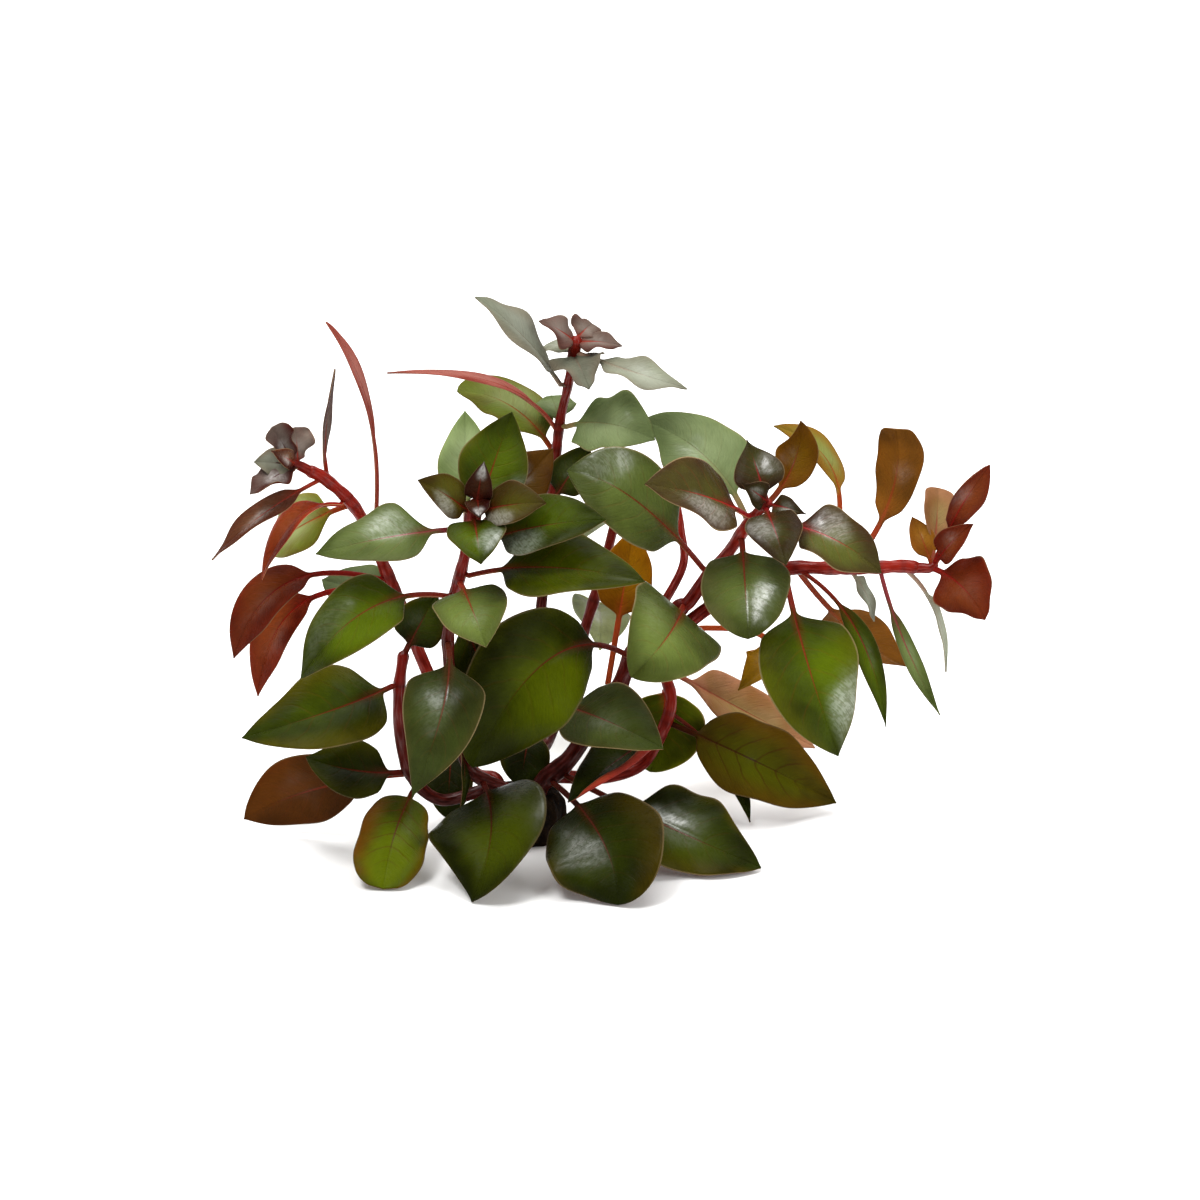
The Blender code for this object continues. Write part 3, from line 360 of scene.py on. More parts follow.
LEAVES = (
    # Left shoot
    small("left_tip_leaf_1", "left_tip", (297, 465), (295, 427), 5, 6, (0.3, -0.85, 0.4), "mauve", 0.85,
          stalk=0.05, outline=(0.7, 0.3), ragged=0.14, wave=0.35, curl=(40, 60), gloss=0.8),
    small("left_tip_leaf_2", "left_tip", (292, 463), (272, 427), 0, 5.5, (0.3, -0.85, 0.3), "plum", 0.8,
          stalk=0.05, outline=(0.8, 0.3), ragged=0.14, wave=0.35, curl=(50, 20), flush=(0, 1.0), gloss=0.8),
    small("left_tip_leaf_3", "left_tip", (295, 465), (254, 462), 1, 6.5, (0.2, -0.8, 0.5), "pearl", 0.62,
          stalk=0.05, ragged=0.1, wave=0.3, curl=(20, 50), flush=(0.5, 0.8)),
    small("left_tip_leaf_4", "left_tip", (293, 464), (272, 451), -4, 3.6, (0, -0.8, 0.4), "young", 1.3,
          stalk=0.02, gloss=0.8),
    small("left_tip_leaf_5", "left_tip", (298, 467), (250, 494), -4, 6.2, (-0.2, -0.6, 0.7), "plum", 0.8,
          stalk=0.08, outline=ELLIPTIC, ragged=0.12, wave=0.35, curl=(50, 20), flush=(1.0, 0), gloss=1.0),
    small("left_twisted_leaf", "left_stem", (322, 478), (212, 560), -2, 6.5, (0.3, -0.5, 0.8), "young", 1.07,
          middle=(264, 514, -1), fold=14, twist=50, outline=NARROW, wave=0.15, gloss=0.8),
    small("left_thin_leaf", "left_stem", (329, 482), (335, 369), 12, 3.4, (0.7, -0.7, 0.2), "mauve", 0.69,
          middle=(325, 436, 10), stalk=0.25, twist=40, outline=LATE),
    small("left_tall_leaf", "left_stem", (374, 540), (326, 322), 14, 3.6, (0.7, -0.7, 0.3), "pink", 0.69,
          middle=(370, 416, 14), stalk=0.35, twist=30, outline=LATE),
    Leaf("left_back_leaf", "left_stem", (352, 505), (266, 552), 22, 12, (0, -0.7, 0.7), "lime", 0.82,
         finish="yellow", lit=0.9, gloss=0.3),
    Leaf("left_inner_red_leaf", "left_stem", (345, 498), (262, 580), 2, 8, (-0.7, -0.4, 0.6), "red", 1.29,
         middle=(296, 520, 3), fold=16, outline=ELLIPTIC, gloss=0.8),
    Leaf("left_upper_red_leaf", "left_stem", (388, 574), (234, 658), 4, 9.5, (-0.5, -0.7, 0.5), "red", 0.56,
         middle=(286, 584, 5), stalk=0.32, fold=14, outline=ELLIPTIC),
    Leaf("left_lower_red_leaf", "left_stem", (394, 588), (258, 696), 10, 8.5, (-0.4, -0.7, 0.5), "red", 0.95,
         middle=(296, 608, 11), stalk=0.36, fold=14, outline=ELLIPTIC),
    Leaf("left_pale_leaf", "left_stem", (400, 606), (322, 580), 22, 12, (0, -0.5, 0.85), "hazy", 0.45),
    # Centre shoot
    small("centre_left_leaf", "centre_tip", (472, 515), (418, 480), -19, 8.5, (0.2, -0.6, 0.8), "bronze", 0.5,
          gloss=1.1, gloss_at=(-0.5, 0.5)),
    small("centre_right_leaf", "centre_tip", (476, 513), (546, 503), -21, 9.5, (-0.2, -0.6, 0.8), "bronze",
          0.5, veined=0.7, gloss=1.0, gloss_at=(0.7, 0.35)),
    small("centre_down_leaf", "centre_tip", (474, 516), (481, 564), -30, 10.5, (0, -0.75, 0.65), "green_painted_sheen",
          0.59, gloss=1.0, gloss_at=(-0.5, 0.6)),
    small("centre_bud_leaf_1", "centre_tip", (478, 499), (484, 462), -17, 5.2, (0, -0.95, 0.3), "bud_painted_sheen", 0.48,
          stalk=0.02, outline=(0.3, 0.9), neck=0.01, gloss=1.4, gloss_at=(0, 0.85)),
    small("centre_bud_leaf_2", "centre_tip", (477, 500), (479, 517), -21, 4.6, (0, -0.85, 0.5), "bud_painted_sheen", 0.48,
          stalk=0.02, outline=(0.35, 0.7), neck=0.01, gloss=1.2, gloss_at=(0, 0.8)),
    Leaf("centre_upright_leaf", "centre_stem", (472, 528), (512, 412), -6, 12.5, (0.1, -0.93, 0.35), "green_painted_sheen",
         0.62, bow=-0.08, stalk=0.2, finish="green", gloss=0.8, gloss_at=(0.9, 0.2)),
    Leaf("centre_back_leaf", "centre_stem", (468, 540), (465, 411), 2, 10, (0, -0.9, 0.4), "hazy", 0.99,
         bow=-0.08, stalk=0.3),
    Leaf("centre_brown_leaf", "centre_stem", (470, 534), (553, 449), -1, 10.5, (0, -0.9, 0.4), "umber", 0.28,
         bow=-0.06, stalk=0.28, finish="orange"),
    Leaf("glossy_right_leaf", "centre_stem", (468, 542), (606, 520), -22, 14, (0, -0.5, 0.87), "green_painted_sheen", 0.36,
         stalk=0.2, finish="green", lit_at=(-0.2, 0.6), gloss=1.1, gloss_at=(0.7, 0.3)),
    Leaf("left_arm_leaf", "centre_stem", (471, 528), (316, 554), -24, 12.8, (0, -0.5, 0.87), "silver", 0.62,
         middle=(392, 537, -23), stalk=0.18, finish="grey", neck=0.3, ragged=0.04, wave=0.1, veined=0.7,
         gloss=0.9, gloss_at=(0.3, 0.4)),
    Leaf("broad_right_leaf", "centre_stem", (461, 572), (645, 582), -26, 16, (0, -0.45, 0.9), "bright", 0.58,
         bow=0.16, stalk=0.2, lit=0.4, gloss=0.45, gloss_at=(0.3, 0.85)),
    Leaf("front_heart_leaf", "centre_stem", (460, 580), (486, 647), -33, 13.5, (0, -0.75, 0.65), "grey", 0.97,
         bow=0.14, finish="green", veined=0.7, lit=0.9, gloss=0.6, gloss_at=(0, 0.6)),
    Leaf("left_lobe_leaf", "centre_stem", (455, 595), (301, 679), -25, 14.5, (-0.2, -0.6, 0.75), "green",
         0.62, middle=(368, 610, -25), stalk=0.24, neck=0.2, lit=0.9, lit_at=(-0.4, 0.4), gloss=0.9,
         gloss_at=(0.5, 0.7)),
    Leaf("front_drop_leaf", "centre_stem", (449, 640), (412, 797), -28, 14.5, (0, -0.95, 0.3), "cool", 0.88,
         middle=(443, 708, -27), outline=DROP, finish="dark", neck=0.3, lit=0.3, gloss=0.8,
         gloss_at=(0.1, 0.4)),
    small("hidden_front_leaf", "centre_stem", (455, 604), (486, 712), -8, 10, (0.3, -0.85, 0.4), "bright",
          0.69, middle=(478, 660, -9), lit=0.1, gloss=0.2),
    small("narrow_front_leaf", "centre_stem", (462, 742), (460, 814), -10, 4, (0.9, -0.3, 0.2), "dark", 0.69,
          outline=NARROW),
    # Two dark leaves deep inside the clump, set where its middle lies in shade, which they partly stand for
    # as painted shade
    small("inner_left_leaf", "left_stem", (452, 735), (447, 818), -1, 9, (0, -0.95, 0.3), "dark", 0.69,
          stalk=0.05, outline=FULL, lit=0, gloss=0.1),
    small("inner_middle_leaf", "top_stem", (530, 728), (520, 786), 0, 9.5, (0, -0.95, 0.3), "dark", 0.69,
          stalk=0.05, outline=FULL, lit=0, gloss=0.1),
    # Lower left
    Leaf("large_left_leaf", "lower_left_stem", (399, 686), (242, 738), -20, 15.5, (0, -0.75, 0.65), "green",
         0.5, middle=(330, 711, -19), stalk=0.08, neck=0.18, flush=(0.8, 0.8), lit=0.4, gloss_at=(0.6, 0.25)),
    small("dark_hanging_leaf", "lower_left_stem", (404, 652), (437, 594), -5, 9.5, (0, -0.9, 0.4), "dark",
          0.69),
    Leaf("low_dark_leaf", "lower_left_stem", (402, 772), (306, 757), -10, 11, (0, -0.75, 0.65), "bright",
         0.31, middle=(352, 770, -11), stalk=0.1, finish="dark", flush=(0.5, 0.6), lit=0.05, gloss=0.3),
    Leaf("low_orange_leaf", "lower_left_stem", (408, 774), (244, 819), -3, 13.5, (0.25, 0.95, 0.0), "orange",
         0.46, middle=(313, 789, -4), stalk=0.18, outline=ELLIPTIC, veined=0.8),
    Leaf("low_yellow_leaf", "lower_left_stem", (418, 784), (383, 889), -27.6, 12.8, (0, -0.8, 0.6), "yellow",
         0.4, middle=(394, 836, -19), stalk=0.1, outline=(0.36, 0.3), neck=0.01, ragged=0.04, veined=0.7,
         flush=(0, 0.6), lit=1.2, lit_at=(0, 0.7), gloss=0.3),
    # Middle
    Leaf("large_front_leaf", "right_stem", (632, 655), (472, 767), -16, 21, (0.15, -0.88, 0.45), "bright",
         0.38, middle=(548, 660, -11), stalk=0.2, outline=FULL, neck=0.1, lit=0.95, lit_at=(-0.5, 0.5),
         gloss=0.2),
    Leaf("grey_leaf", "top_stem", (532, 700), (663, 749), -19, 15, (-0.1, -0.6, 0.8), "cool", 1.12, stalk=0.3,
         finish="grey", gloss=0.7, gloss_at=(0.1, 0.5)),
    Leaf("right_heart_leaf", "right_stem", (686, 605), (631, 677), -15, 19.5, (0.48, -0.57, 0.66), "grey",
         1.03, middle=(664, 641, -10), stalk=0.06, outline=(0.2, 0.7), finish="green", neck=0.02, veined=0.7,
         lit=0.9, gloss=0.6, gloss_at=(0.5, 0.4)),
    Leaf("orange_leaf", "right_stem", (616, 692), (634, 528), 16, 10.5, (0, -0.9, 0.4), "umber", 1.24,
         bow=-0.05, stalk=0.45, finish="orange"),
    # Right shoot
    Leaf("large_upper_leaf", "right_branch", (712, 572), (567, 471), -8, 16.5, (0.1, -0.75, 0.65), "grey",
         0.66, middle=(632, 498, -9), stalk=0.16, veined=0.7, lit=0.8, lit_at=(0.3, 0.4), gloss=0.9,
         gloss_at=(0.5, 0.7)),
    Leaf("right_left_leaf", "right_branch", (754, 516), (645, 484), -18, 15, (0, -0.6, 0.8), "dusky", 1.16,
         finish="young", wave=0.1, veined=0.9, lit=0.3, gloss=1.1, gloss_at=(-0.5, 0.45)),
    small("right_down_leaf", "right_tip", (766, 508), (786, 565), -24, 10, (0, -0.75, 0.65), "dusky", 0.64,
          veined=0.8, gloss=1.0, gloss_at=(0.5, 0.4)),
    small("right_up_leaf", "right_tip", (768, 505), (747, 440), 2, 9.5, (0.1, -0.9, 0.4), "dusky", 0.64,
          outline=(0.75, 1.5), gloss=0.8, gloss_at=(0.4, 0.5)),
    small("right_bud_leaf_1", "right_tip", (769, 503), (742, 484), -10, 5.5, (0, -0.8, 0.6), "dusky", 0.6,
          outline=(0.5, 1.3), gloss=0.9, gloss_at=(0, 0.5)),
    small("right_bud_leaf_2", "right_tip", (768, 504), (806, 514), -12, 4.5, (0, -0.8, 0.6), "dusky", 0.6,
          outline=(0.5, 1.3), gloss=0.9, gloss_at=(0, 0.5)),
    Leaf("right_right_leaf", "right_branch", (756, 514), (881, 573), -14, 12.5, (0.1, -0.6, 0.8), "dusky",
         1.06, middle=(826, 536, -13), stalk=0.25, finish="bronze", neck=0.2, wave=0.18, veined=0.8, lit=1.0,
         gloss=1.0, gloss_at=(-0.3, 0.35)),
    Leaf("round_down_leaf", "right_branch", (741, 535), (748, 639), -19, 16, (0, -0.9, 0.42), "grey", 0.71,
         bow=0.1, stalk=0.12, outline=ROUND, finish="green", veined=0.8, flush=(0, 0.7), gloss=1.0,
         gloss_at=(-0.4, 0.6)),
    Leaf("brown_upright_leaf", "right_branch", (752, 520), (801, 421), 9, 8, (0.1, -0.95, 0.3), "umber", 0.53,
         middle=(790, 472, 8), stalk=0.3, outline=ELLIPTIC, finish="orange"),
    Leaf("pale_right_leaf", "right_branch", (748, 524), (641, 420), 18, 15, (0, -0.65, 0.75), "hazy", 0.62,
         middle=(704, 456, 13), stalk=0.15, ragged=0.05),
    # Runner
    Leaf("large_hanging_leaf", "right_runner", (786, 570), (838, 756), -17, 18, (0.15, -0.93, 0.35), "green_painted_sheen",
         0.85, middle=(807, 662, -16), stalk=0.2, finish="dark", neck=0.2, veined=0.7, flush=(0.3, 0.3),
         lit=0.5, lit_at=(-0.3, 0.4), gloss=0.9, gloss_at=(-0.7, 0.7)),
    Leaf("arching_leaf", "right_runner", (832, 568), (774, 426), 15, 7.5, (0.75, -0.6, 0.3), "straw", 0.64,
         middle=(833, 472, 14), stalk=0.35, outline=ELLIPTIC, finish="yellow", flush=(0.7, 0.7), gloss=0.2),
    Leaf("back_orange_leaf", "right_runner", (796, 569), (906, 666), 16, 11, (0, 0.8, 0.6), "amber", 0.65,
         middle=(850, 628, 13), stalk=0.3, finish="orange"),
    Leaf("low_back_leaf", "right_stem", (656, 628), (738, 690), 17, 9.5, (-0.5, 0.8, 0.3), "umber", 1.36,
         middle=(766, 638, 15), stalk=0.5, finish="orange"),
    Leaf("upright_orange_leaf", "right_runner", (858, 568), (896, 429), 6, 8.5, (0.4, 0.85, 0.2), "amber",
         0.6, middle=(893, 492, 8), stalk=0.25, outline=(0.5, 0.24), finish="orange", neck=0.2, ragged=0.05,
         veined=0.8),
    small("twisted_leaf_1", "right_runner", (797, 569), (886, 727), -6, 4.5, (0.5, -0.8, 0.4), "green", 0.69,
          middle=(855, 628, -6), stalk=0.3, twist=30, outline=NARROW),
    small("twisted_leaf_2", "right_runner", (850, 568), (874, 621), 4, 4, (0.5, -0.6, 0.6), "pearl", 0.69,
          wave=0.25),
    small("twisted_leaf_3", "right_runner", (880, 567), (940, 715), -8, 3.6, (0.4, -0.8, 0.4), "silver", 0.69,
          middle=(903, 640, -8), stalk=0.25, outline=NARROW),
    small("twisted_leaf_4", "right_runner", (903, 566), (946, 672), 4, 3.5, (0.8, -0.4, 0.4), "pearl", 0.86,
          middle=(935, 610, 4), stalk=0.3, outline=NARROW),
    small("runner_tip_leaf_1", "runner_tip", (934, 565), (990, 465), -4, 6.5, (0.3, -0.9, 0.3), "red", 0.61,
          middle=(959, 510, -4), stalk=0.3, outline=ELLIPTIC, curl=(70, 20), gloss=0.6),
    small("runner_tip_leaf_2", "runner_tip", (932, 567), (938, 488), 8, 6.5, (0.2, -0.9, 0.3), "tan", 0.73,
          stalk=0.3, outline=(0.85, 0.4), ragged=0.08, curl=(30, 50)),
    small("runner_tip_leaf_3", "runner_tip", (936, 564), (973, 524), -8, 6, (-0.5, -0.7, 0.5), "red", 0.61,
          curl=(60, 0), gloss=0.9),
    small("runner_tip_leaf_4", "runner_tip", (932, 568), (985, 620), -8, 11.5, (-0.2, -0.8, 0.6), "red", 0.61,
          middle=(962, 587, -6), ragged=0.1, wave=0.3, curl=(30, 40), gloss=0.6),
    small("runner_tip_leaf_5", "runner_tip", (933, 567), (912, 517), 4, 5, (0.2, -0.9, 0.3), "amber", 0.61,
          curl=(20, 50)),
    # Top shoot
    Leaf("top_left_leaf", "top_stem", (567, 384), (475, 297), 18, 11, (0.2, -0.3, 0.93), "pearl", 0.51,
         middle=(521, 335, 19), stalk=0.08, outline=ELLIPTIC, finish="grey", wave=0.12, flush=(0.5, 0.5),
         gloss=0.3),
    small("top_right_leaf", "top_tip", (575, 352), (687, 389), 16, 8, (0, -0.3, 0.95), "pearl", 0.68,
          middle=(632, 372, 17), stalk=0.2, ragged=0.08, wave=0.2),
    small("top_tip_leaf_1", "top_tip", (576, 342), (539, 321), 20, 6.5, (0.2, -0.5, 0.85), "mauve", 0.77,
          stalk=0.02, ragged=0.12, wave=0.35, flush=(0.8, 0.3), gloss=0.7),
    small("top_tip_leaf_2", "top_tip", (576, 342), (622, 346), 20, 5, (0, -0.5, 0.85), "mauve", 0.77,
          stalk=0.02, ragged=0.1, wave=0.35, flush=(0.3, 0.8)),
    small("top_tip_leaf_3", "top_tip", (574, 356), (589, 389), 12, 9.5, (0, -0.6, 0.8), "pearl", 0.41,
          stalk=0.02, outline=HEART, ragged=0.12, wave=0.25, flush=(0.7, 0.7), lit=0),
    small("top_tip_leaf_4", "top_tip", (574, 352), (546, 345), 31, 6, (0, -0.5, 0.87), "pearl", 0.73,
          stalk=0.02),
    small("top_tip_leaf_5", "top_tip", (577, 338), (592, 324), 26, 6, (0, -0.8, 0.6), "mauve", 0.77,
          stalk=0.02, outline=(0.7, 0.4), ragged=0.12, wave=0.3, flush=(0.6, 0.6)),
    small("long_thin_leaf", "top_stem", (558, 432), (387, 373), 28, 3.6, (-0.2, -0.1, 0.98), "pink", 0.69,
          middle=(496, 384, 28), stalk=0.2, outline=NARROW),
    Leaf("hazy_left_leaf", "top_stem", (555, 450), (457, 391), 34, 12, (0, -0.3, 0.95), "lime", 0.55,
         middle=(510, 406, 33), stalk=0.08, outline=ROUND, finish="hazy", gloss=0.2),
    Leaf("hazy_middle_leaf", "top_stem", (560, 425), (655, 440), 14, 14.5, (0, -0.6, 0.8), "hazy", 0.73,
         middle=(606, 424, 18), ragged=0.1, wave=0.12),
    small("hazy_upper_leaf", "top_stem", (562, 424), (551, 396), 34, 8, (0, -0.5, 0.87), "hazy", 0.69),
    small("dark_inner_leaf", "top_stem", (552, 500), (590, 445), 22, 8, (0, -0.9, 0.4), "dark", 0.69),
    # Lower right and front
    Leaf("low_front_leaf", "centre_stem", (478, 784), (472, 902), -33, 22.5, (-0.35, -0.6, 0.7), "bright",
         0.23, middle=(491, 836, -25), stalk=0.08, neck=0.06, lit=0.95, lit_at=(-0.15, 0.5), gloss=0.9,
         gloss_at=(-0.7, 0.25)),
    Leaf("low_round_leaf", "right_stem", (556, 782), (618, 905), -34.5, 22, (0, -0.85, 0.5), "dark", 0.48,
         middle=(601, 838, -25), stalk=0.22, outline=ROUND, neck=0.05, flush=(0.6, 0), gloss=0.8,
         gloss_at=(0.5, 0.4)),
    Leaf("low_right_leaf", "right_stem", (562, 772), (761, 868), -19, 17.5, (0.1, -0.6, 0.8), "dark", 0.7,
         middle=(666, 826, -14), stalk=0.3, finish="green", ragged=0.07, wave=0.12, flush=(0, 0.4), lit=0.9,
         gloss=0.8, gloss_at=(-0.1, 0.3)),
    Leaf("curled_leaf", "curved_stem", (660, 738), (568, 802), -16, 10.5, (0, -0.6, 0.8), "rolled", 0.51,
         stalk=0.1, finish="dark", wave=0.15, curl=(200, 0), gloss=0.7),
    Leaf("middle_right_leaf", "curved_stem", (668, 688), (650, 772), 10, 16.5, (0, -0.9, 0.42), "bright",
         2.13, middle=(662, 724, 13), stalk=0.05, outline=ROUND, finish="green", neck=0.05, lit=0.1,
         gloss=0.2),
    Leaf("large_low_leaf", "curved_stem", (667, 722), (836, 803), 9, 16, (0, -0.75, 0.65), "olive", 0.34,
         bow=0.08, finish="bronze", neck=0.05, ragged=0.05, wave=0.12, veined=1.0, flush=(0.45, 0.3),
         gloss=0.2),
    Leaf("pink_back_leaf", "curved_stem", (658, 668), (815, 748), 28, 12, (0, -0.6, 0.8), "tan", 0.85,
         middle=(745, 712, 26), finish="red"),
    small("low_thin_leaf", "curved_stem", (667, 712), (750, 822), 2, 4, (0.3, -0.6, 0.7), "dark", 0.69,
          middle=(723, 762, 8.5), stalk=0.3, outline=NARROW),
    # Back
    small("back_leaf_1", "back_stem", (582, 640), (508, 660), 60, 13, (0, 0.6, 0.8), "hazy", 0.82),
    small("back_leaf_2", "back_stem", (594, 600), (600, 650), 66, 12, (0.3, 0.6, 0.8), "hazy", 0.82),
    small("back_leaf_3", "back_stem", (616, 516), (540, 560), 60, 12, (0, 0.5, 0.87), "hazy", 0.82),
    small("back_leaf_4", "back_stem", (627, 474), (640, 500), 66, 11, (0, 0.5, 0.87), "hazy", 0.82),
)

# Places in the view, and the routes of stems and stalks


def unit(vector):
    """The vector at length one."""
    return vector / np.linalg.norm(vector)


def units(rows):
    """Each row of an array at length one."""
    return rows / np.linalg.norm(rows, axis=1)[:, None]


def walked(path):
    """The length of a path up to each of its points."""
    return np.concatenate(([0], np.cumsum(np.linalg.norm(np.diff(path, axis=0), axis=1))))


def smooth(value, low, high):
    """0 below low and 1 above high, with s = (value - low) / (high - low) and s^2 (3 - 2 s) between."""
    share = np.clip((value - low) / (high - low), 0, 1)
    return share * share * (3 - 2 * share)


def seen(across, down, back):
    """The place that the view shows at a pixel, when it lies so many millimetres behind the crown."""
    right, up = (across - VIEW_MIDDLE) / VIEW_SCALE, (VIEW_MIDDLE - down) / VIEW_SCALE
    y = back * MM
    rise = (up * (VIEW_DISTANCE + y * COSINE) - y * SINE) / (COSINE + up * SINE)
    depth = VIEW_DISTANCE + y * COSINE - rise * SINE
    return np.array((VIEW_CENTRE[0] + right * depth, y, VIEW_CENTRE[2] + rise))


def pixel_of(points):
    """The pixels, across and down, at which the view shows an array of places."""
    x, y, z = (points - np.array(VIEW_CENTRE)).T
    scale = VIEW_SCALE / (VIEW_DISTANCE + y * COSINE - z * SINE)
    return np.stack((VIEW_MIDDLE + scale * x, VIEW_MIDDLE - scale * (z * COSINE + y * SINE)), 1)


def smooth_path(corners, count):
    """Points at even steps along a Catmull-Rom curve through the corners."""
    corners = np.array(corners)
    ends = np.vstack((2 * corners[0] - corners[1], corners, 2 * corners[-1] - corners[-2]))
    share = np.linspace(0, 1, CURVE_STEPS, endpoint=False)[:, None]
    pieces = [0.5 * (2 * b + (c - a) * share + (2 * a - 5 * b + 4 * c - d) * share**2
                     + (3 * b - a - 3 * c + d) * share**3)
              for a, b, c, d in zip(ends, ends[1:], ends[2:], ends[3:])]
    line = np.vstack((*pieces, corners[-1:]))
    steps = walked(line)
    wanted = np.linspace(0, steps[-1], count)
    return np.stack([np.interp(wanted, steps, line[:, axis]) for axis in range(3)], 1)


def trunk_point(path, radii, share):
    """The middle, direction and radius of a stem at a share of its length."""
    place = share * (len(path) - 1)
    low = min(int(place), len(path) - 2)
    part = place - low
    middle = path[low] * (1 - part) + path[low + 1] * part
    return middle, unit(path[low + 1] - path[low]), radii[low] * (1 - part) + radii[low + 1] * part


def sideways(place, middle, along):
    """The direction square to a stem, from its middle towards a place."""
    away = place - middle
    return unit(away - away.dot(along) * along)


def stem_foot(stem, paths):
    """The first corners of a stem: those inside what carries it, and those just outside that."""
    if stem.parent == "crown":
        x, y = stem.foot[0] * MM, stem.foot[1] * MM
        start = np.array((x, y, CROWN_HEIGHT + 2 * GAP + stem.radius[0] * MM * FOOT_RISE))
        return [np.array((x * ROOT_INWARD, y * ROOT_INWARD, CROWN_HEIGHT * ROOT_HEIGHT))], [start]
    middle, along, radius = trunk_point(*paths[stem.parent], stem.foot[0])
    if stem.foot[0] == 1:
        return [middle - along * radius], [middle + along * (GAP + 0.1 * MM)]
    outward = sideways(seen(*stem.route[0]), middle, along)
    start = middle + outward * (radius + GAP + stem.radius[0] * MM * FOOT_REST)
    return [middle], [start, start + outward * radius / 2]


def stem_paths():
    """Each stem's frame points with its radius at each, and its corners from inside what carries it."""
    paths, corners = {}, {}
    for stem in STEMS:
        inside, outside = stem_foot(stem, paths)
        route = outside + [seen(*place) for place in stem.route]
        paths[stem.name] = smooth_path(route, stem.points), np.linspace(*stem.radius, stem.points) * MM
        corners[stem.name] = inside + route
    return paths, corners


def leaf_foot(leaf, paths):
    """Where a leaf's stalk begins inside its stem, and where it comes out."""
    path, radii = paths[leaf.stem]
    shares = np.linspace(0, 1, STEM_PLACES)
    line = np.array([trunk_point(path, radii, share)[0] for share in shares])
    nearest = np.argmin(np.linalg.norm(pixel_of(line) - np.array(leaf.near), axis=1))
    middle, along, radius = trunk_point(path, radii, shares[nearest])
    outward = sideways(seen(*(leaf.middle or (*leaf.tip, leaf.back))), middle, along)
    return middle, middle + outward * (radius + STALK_CLEARANCE if leaf.own else radius / 4)


# Grown surfaces


class Shape:
    """The closed surfaces of one piece: points with their named values, and faces with their skins."""

    VALUES = ("across", "blade", "reach", "glow", "flush", "gloss", "tone")

    def __init__(self):
        self.points, self.values, self.faces, self.skins = [], [], [], []
        self.count = 0

    def add_sleeve(self, rings, values, skins):
        """A tube through rings of points, closed round each ring and capped at both ends. Values are one
        array for each name, as rings without their last axis, and skins one number for each column."""
        rows, columns = rings.shape[:2]
        index = self.count + np.arange(rows * columns).reshape(rows, columns)
        after = np.roll(index, -1, axis=1)
        quads = np.stack((index[:-1], after[:-1], after[1:], index[1:]), -1)
        foot = np.full(columns, self.count + rows * columns)
        caps = np.stack((after[0], index[0], foot), -1), np.stack((index[-1], after[-1], foot + 1), -1)
        loops = [quads.reshape(-1, 4), *caps]
        points = np.vstack((rings.reshape(-1, 3), rings[0].mean(0), rings[-1].mean(0)))
        if self.volume(points, loops[0] - self.count) < 0:
            loops = [part[:, ::-1] for part in loops]
        for part in loops:
            self.faces.extend(part.tolist())
        self.skins.extend(np.tile(skins, rows - 1).tolist() + [skins[0]] * (2 * columns))
        table = np.stack([np.broadcast_to(value, (rows, columns)) for value in values], -1)
        self.values.append(np.vstack((table.reshape(-1, len(values)), table[0].mean(0), table[-1].mean(0))))
        self.points.append(points)
        self.count += len(points)

    @staticmethod
    def volume(points, quads):
        """Six times the volume inside four-sided faces, negative when they face inwards."""
        a, b, c, d = (points[quads[:, corner]] for corner in range(4))
        return np.einsum("ij,ij->", a, np.cross(b, c)) + np.einsum("ij,ij->", a, np.cross(c, d))

    def build(self, name, materials):
        """The piece as an object, smooth, with its values as attributes."""
        mesh = bpy.data.meshes.new(name)
        mesh.from_pydata(np.vstack(self.points), [], self.faces)
        for material in materials:
            mesh.materials.append(material)
        mesh.polygons.foreach_set("material_index", self.skins)
        for label, column in zip(self.VALUES, np.vstack(self.values).T):
            mesh.attributes.new(label, "FLOAT", "POINT").data.foreach_set("value", column.astype(np.float32))
        mesh.shade_smooth()
        mesh.update()
        return add_object(name, mesh)


def add_object(name, data):
    """An object in the scene that shows a mesh, light or camera."""
    made = bpy.data.objects.new(name, data)
    bpy.context.scene.collection.objects.link(made)
    return made


def leaf_rows(leaf, count):
    """Shares of a leaf's length at which its rows lie: first on the stalk, then on the blade, where
    they are closest at both ends, at 0.45 s + 0.55 (1 - cos pi s) / 2."""
    even = np.linspace(0, 1, count)
    blade = 0.45 * even + 0.55 * (1 - np.cos(math.pi * even)) / 2
    stalk = np.linspace(0, leaf.stalk, STALK_ROWS, endpoint=False)
    return np.concatenate(([0], stalk, leaf.stalk + (1 - leaf.stalk) * blade))


def leaf_line(leaf, foot, along):
    """A leaf's midrib, its direction and its upward side at each share of its length. The midrib is
    (1 - t)^2 foot + 2 t (1 - t) bend + t^2 tip."""
    tip = seen(*leaf.tip, leaf.back)
    chord = tip - foot
    length = np.linalg.norm(chord)
    ahead = chord / length
    face = np.array(leaf.faces, float)
    face = unit(face - face.dot(ahead) * ahead)
    bend = foot + chord * BEND_PLACE + face * leaf.bow * length
    if leaf.middle:
        bend = 2 * seen(*leaf.middle) - (foot + tip) / 2
    t = along[:, None]
    midrib = (1 - t) ** 2 * foot + 2 * t * (1 - t) * bend + t**2 * tip
    run = units(2 * (1 - t) * (bend - foot) + 2 * t * (tip - bend))
    turn = np.radians(leaf.twist) * t
    up = face * np.cos(turn) + np.cross(ahead, face) * np.sin(turn)
    return midrib, run, units(up - (up * run).sum(1)[:, None] * run)


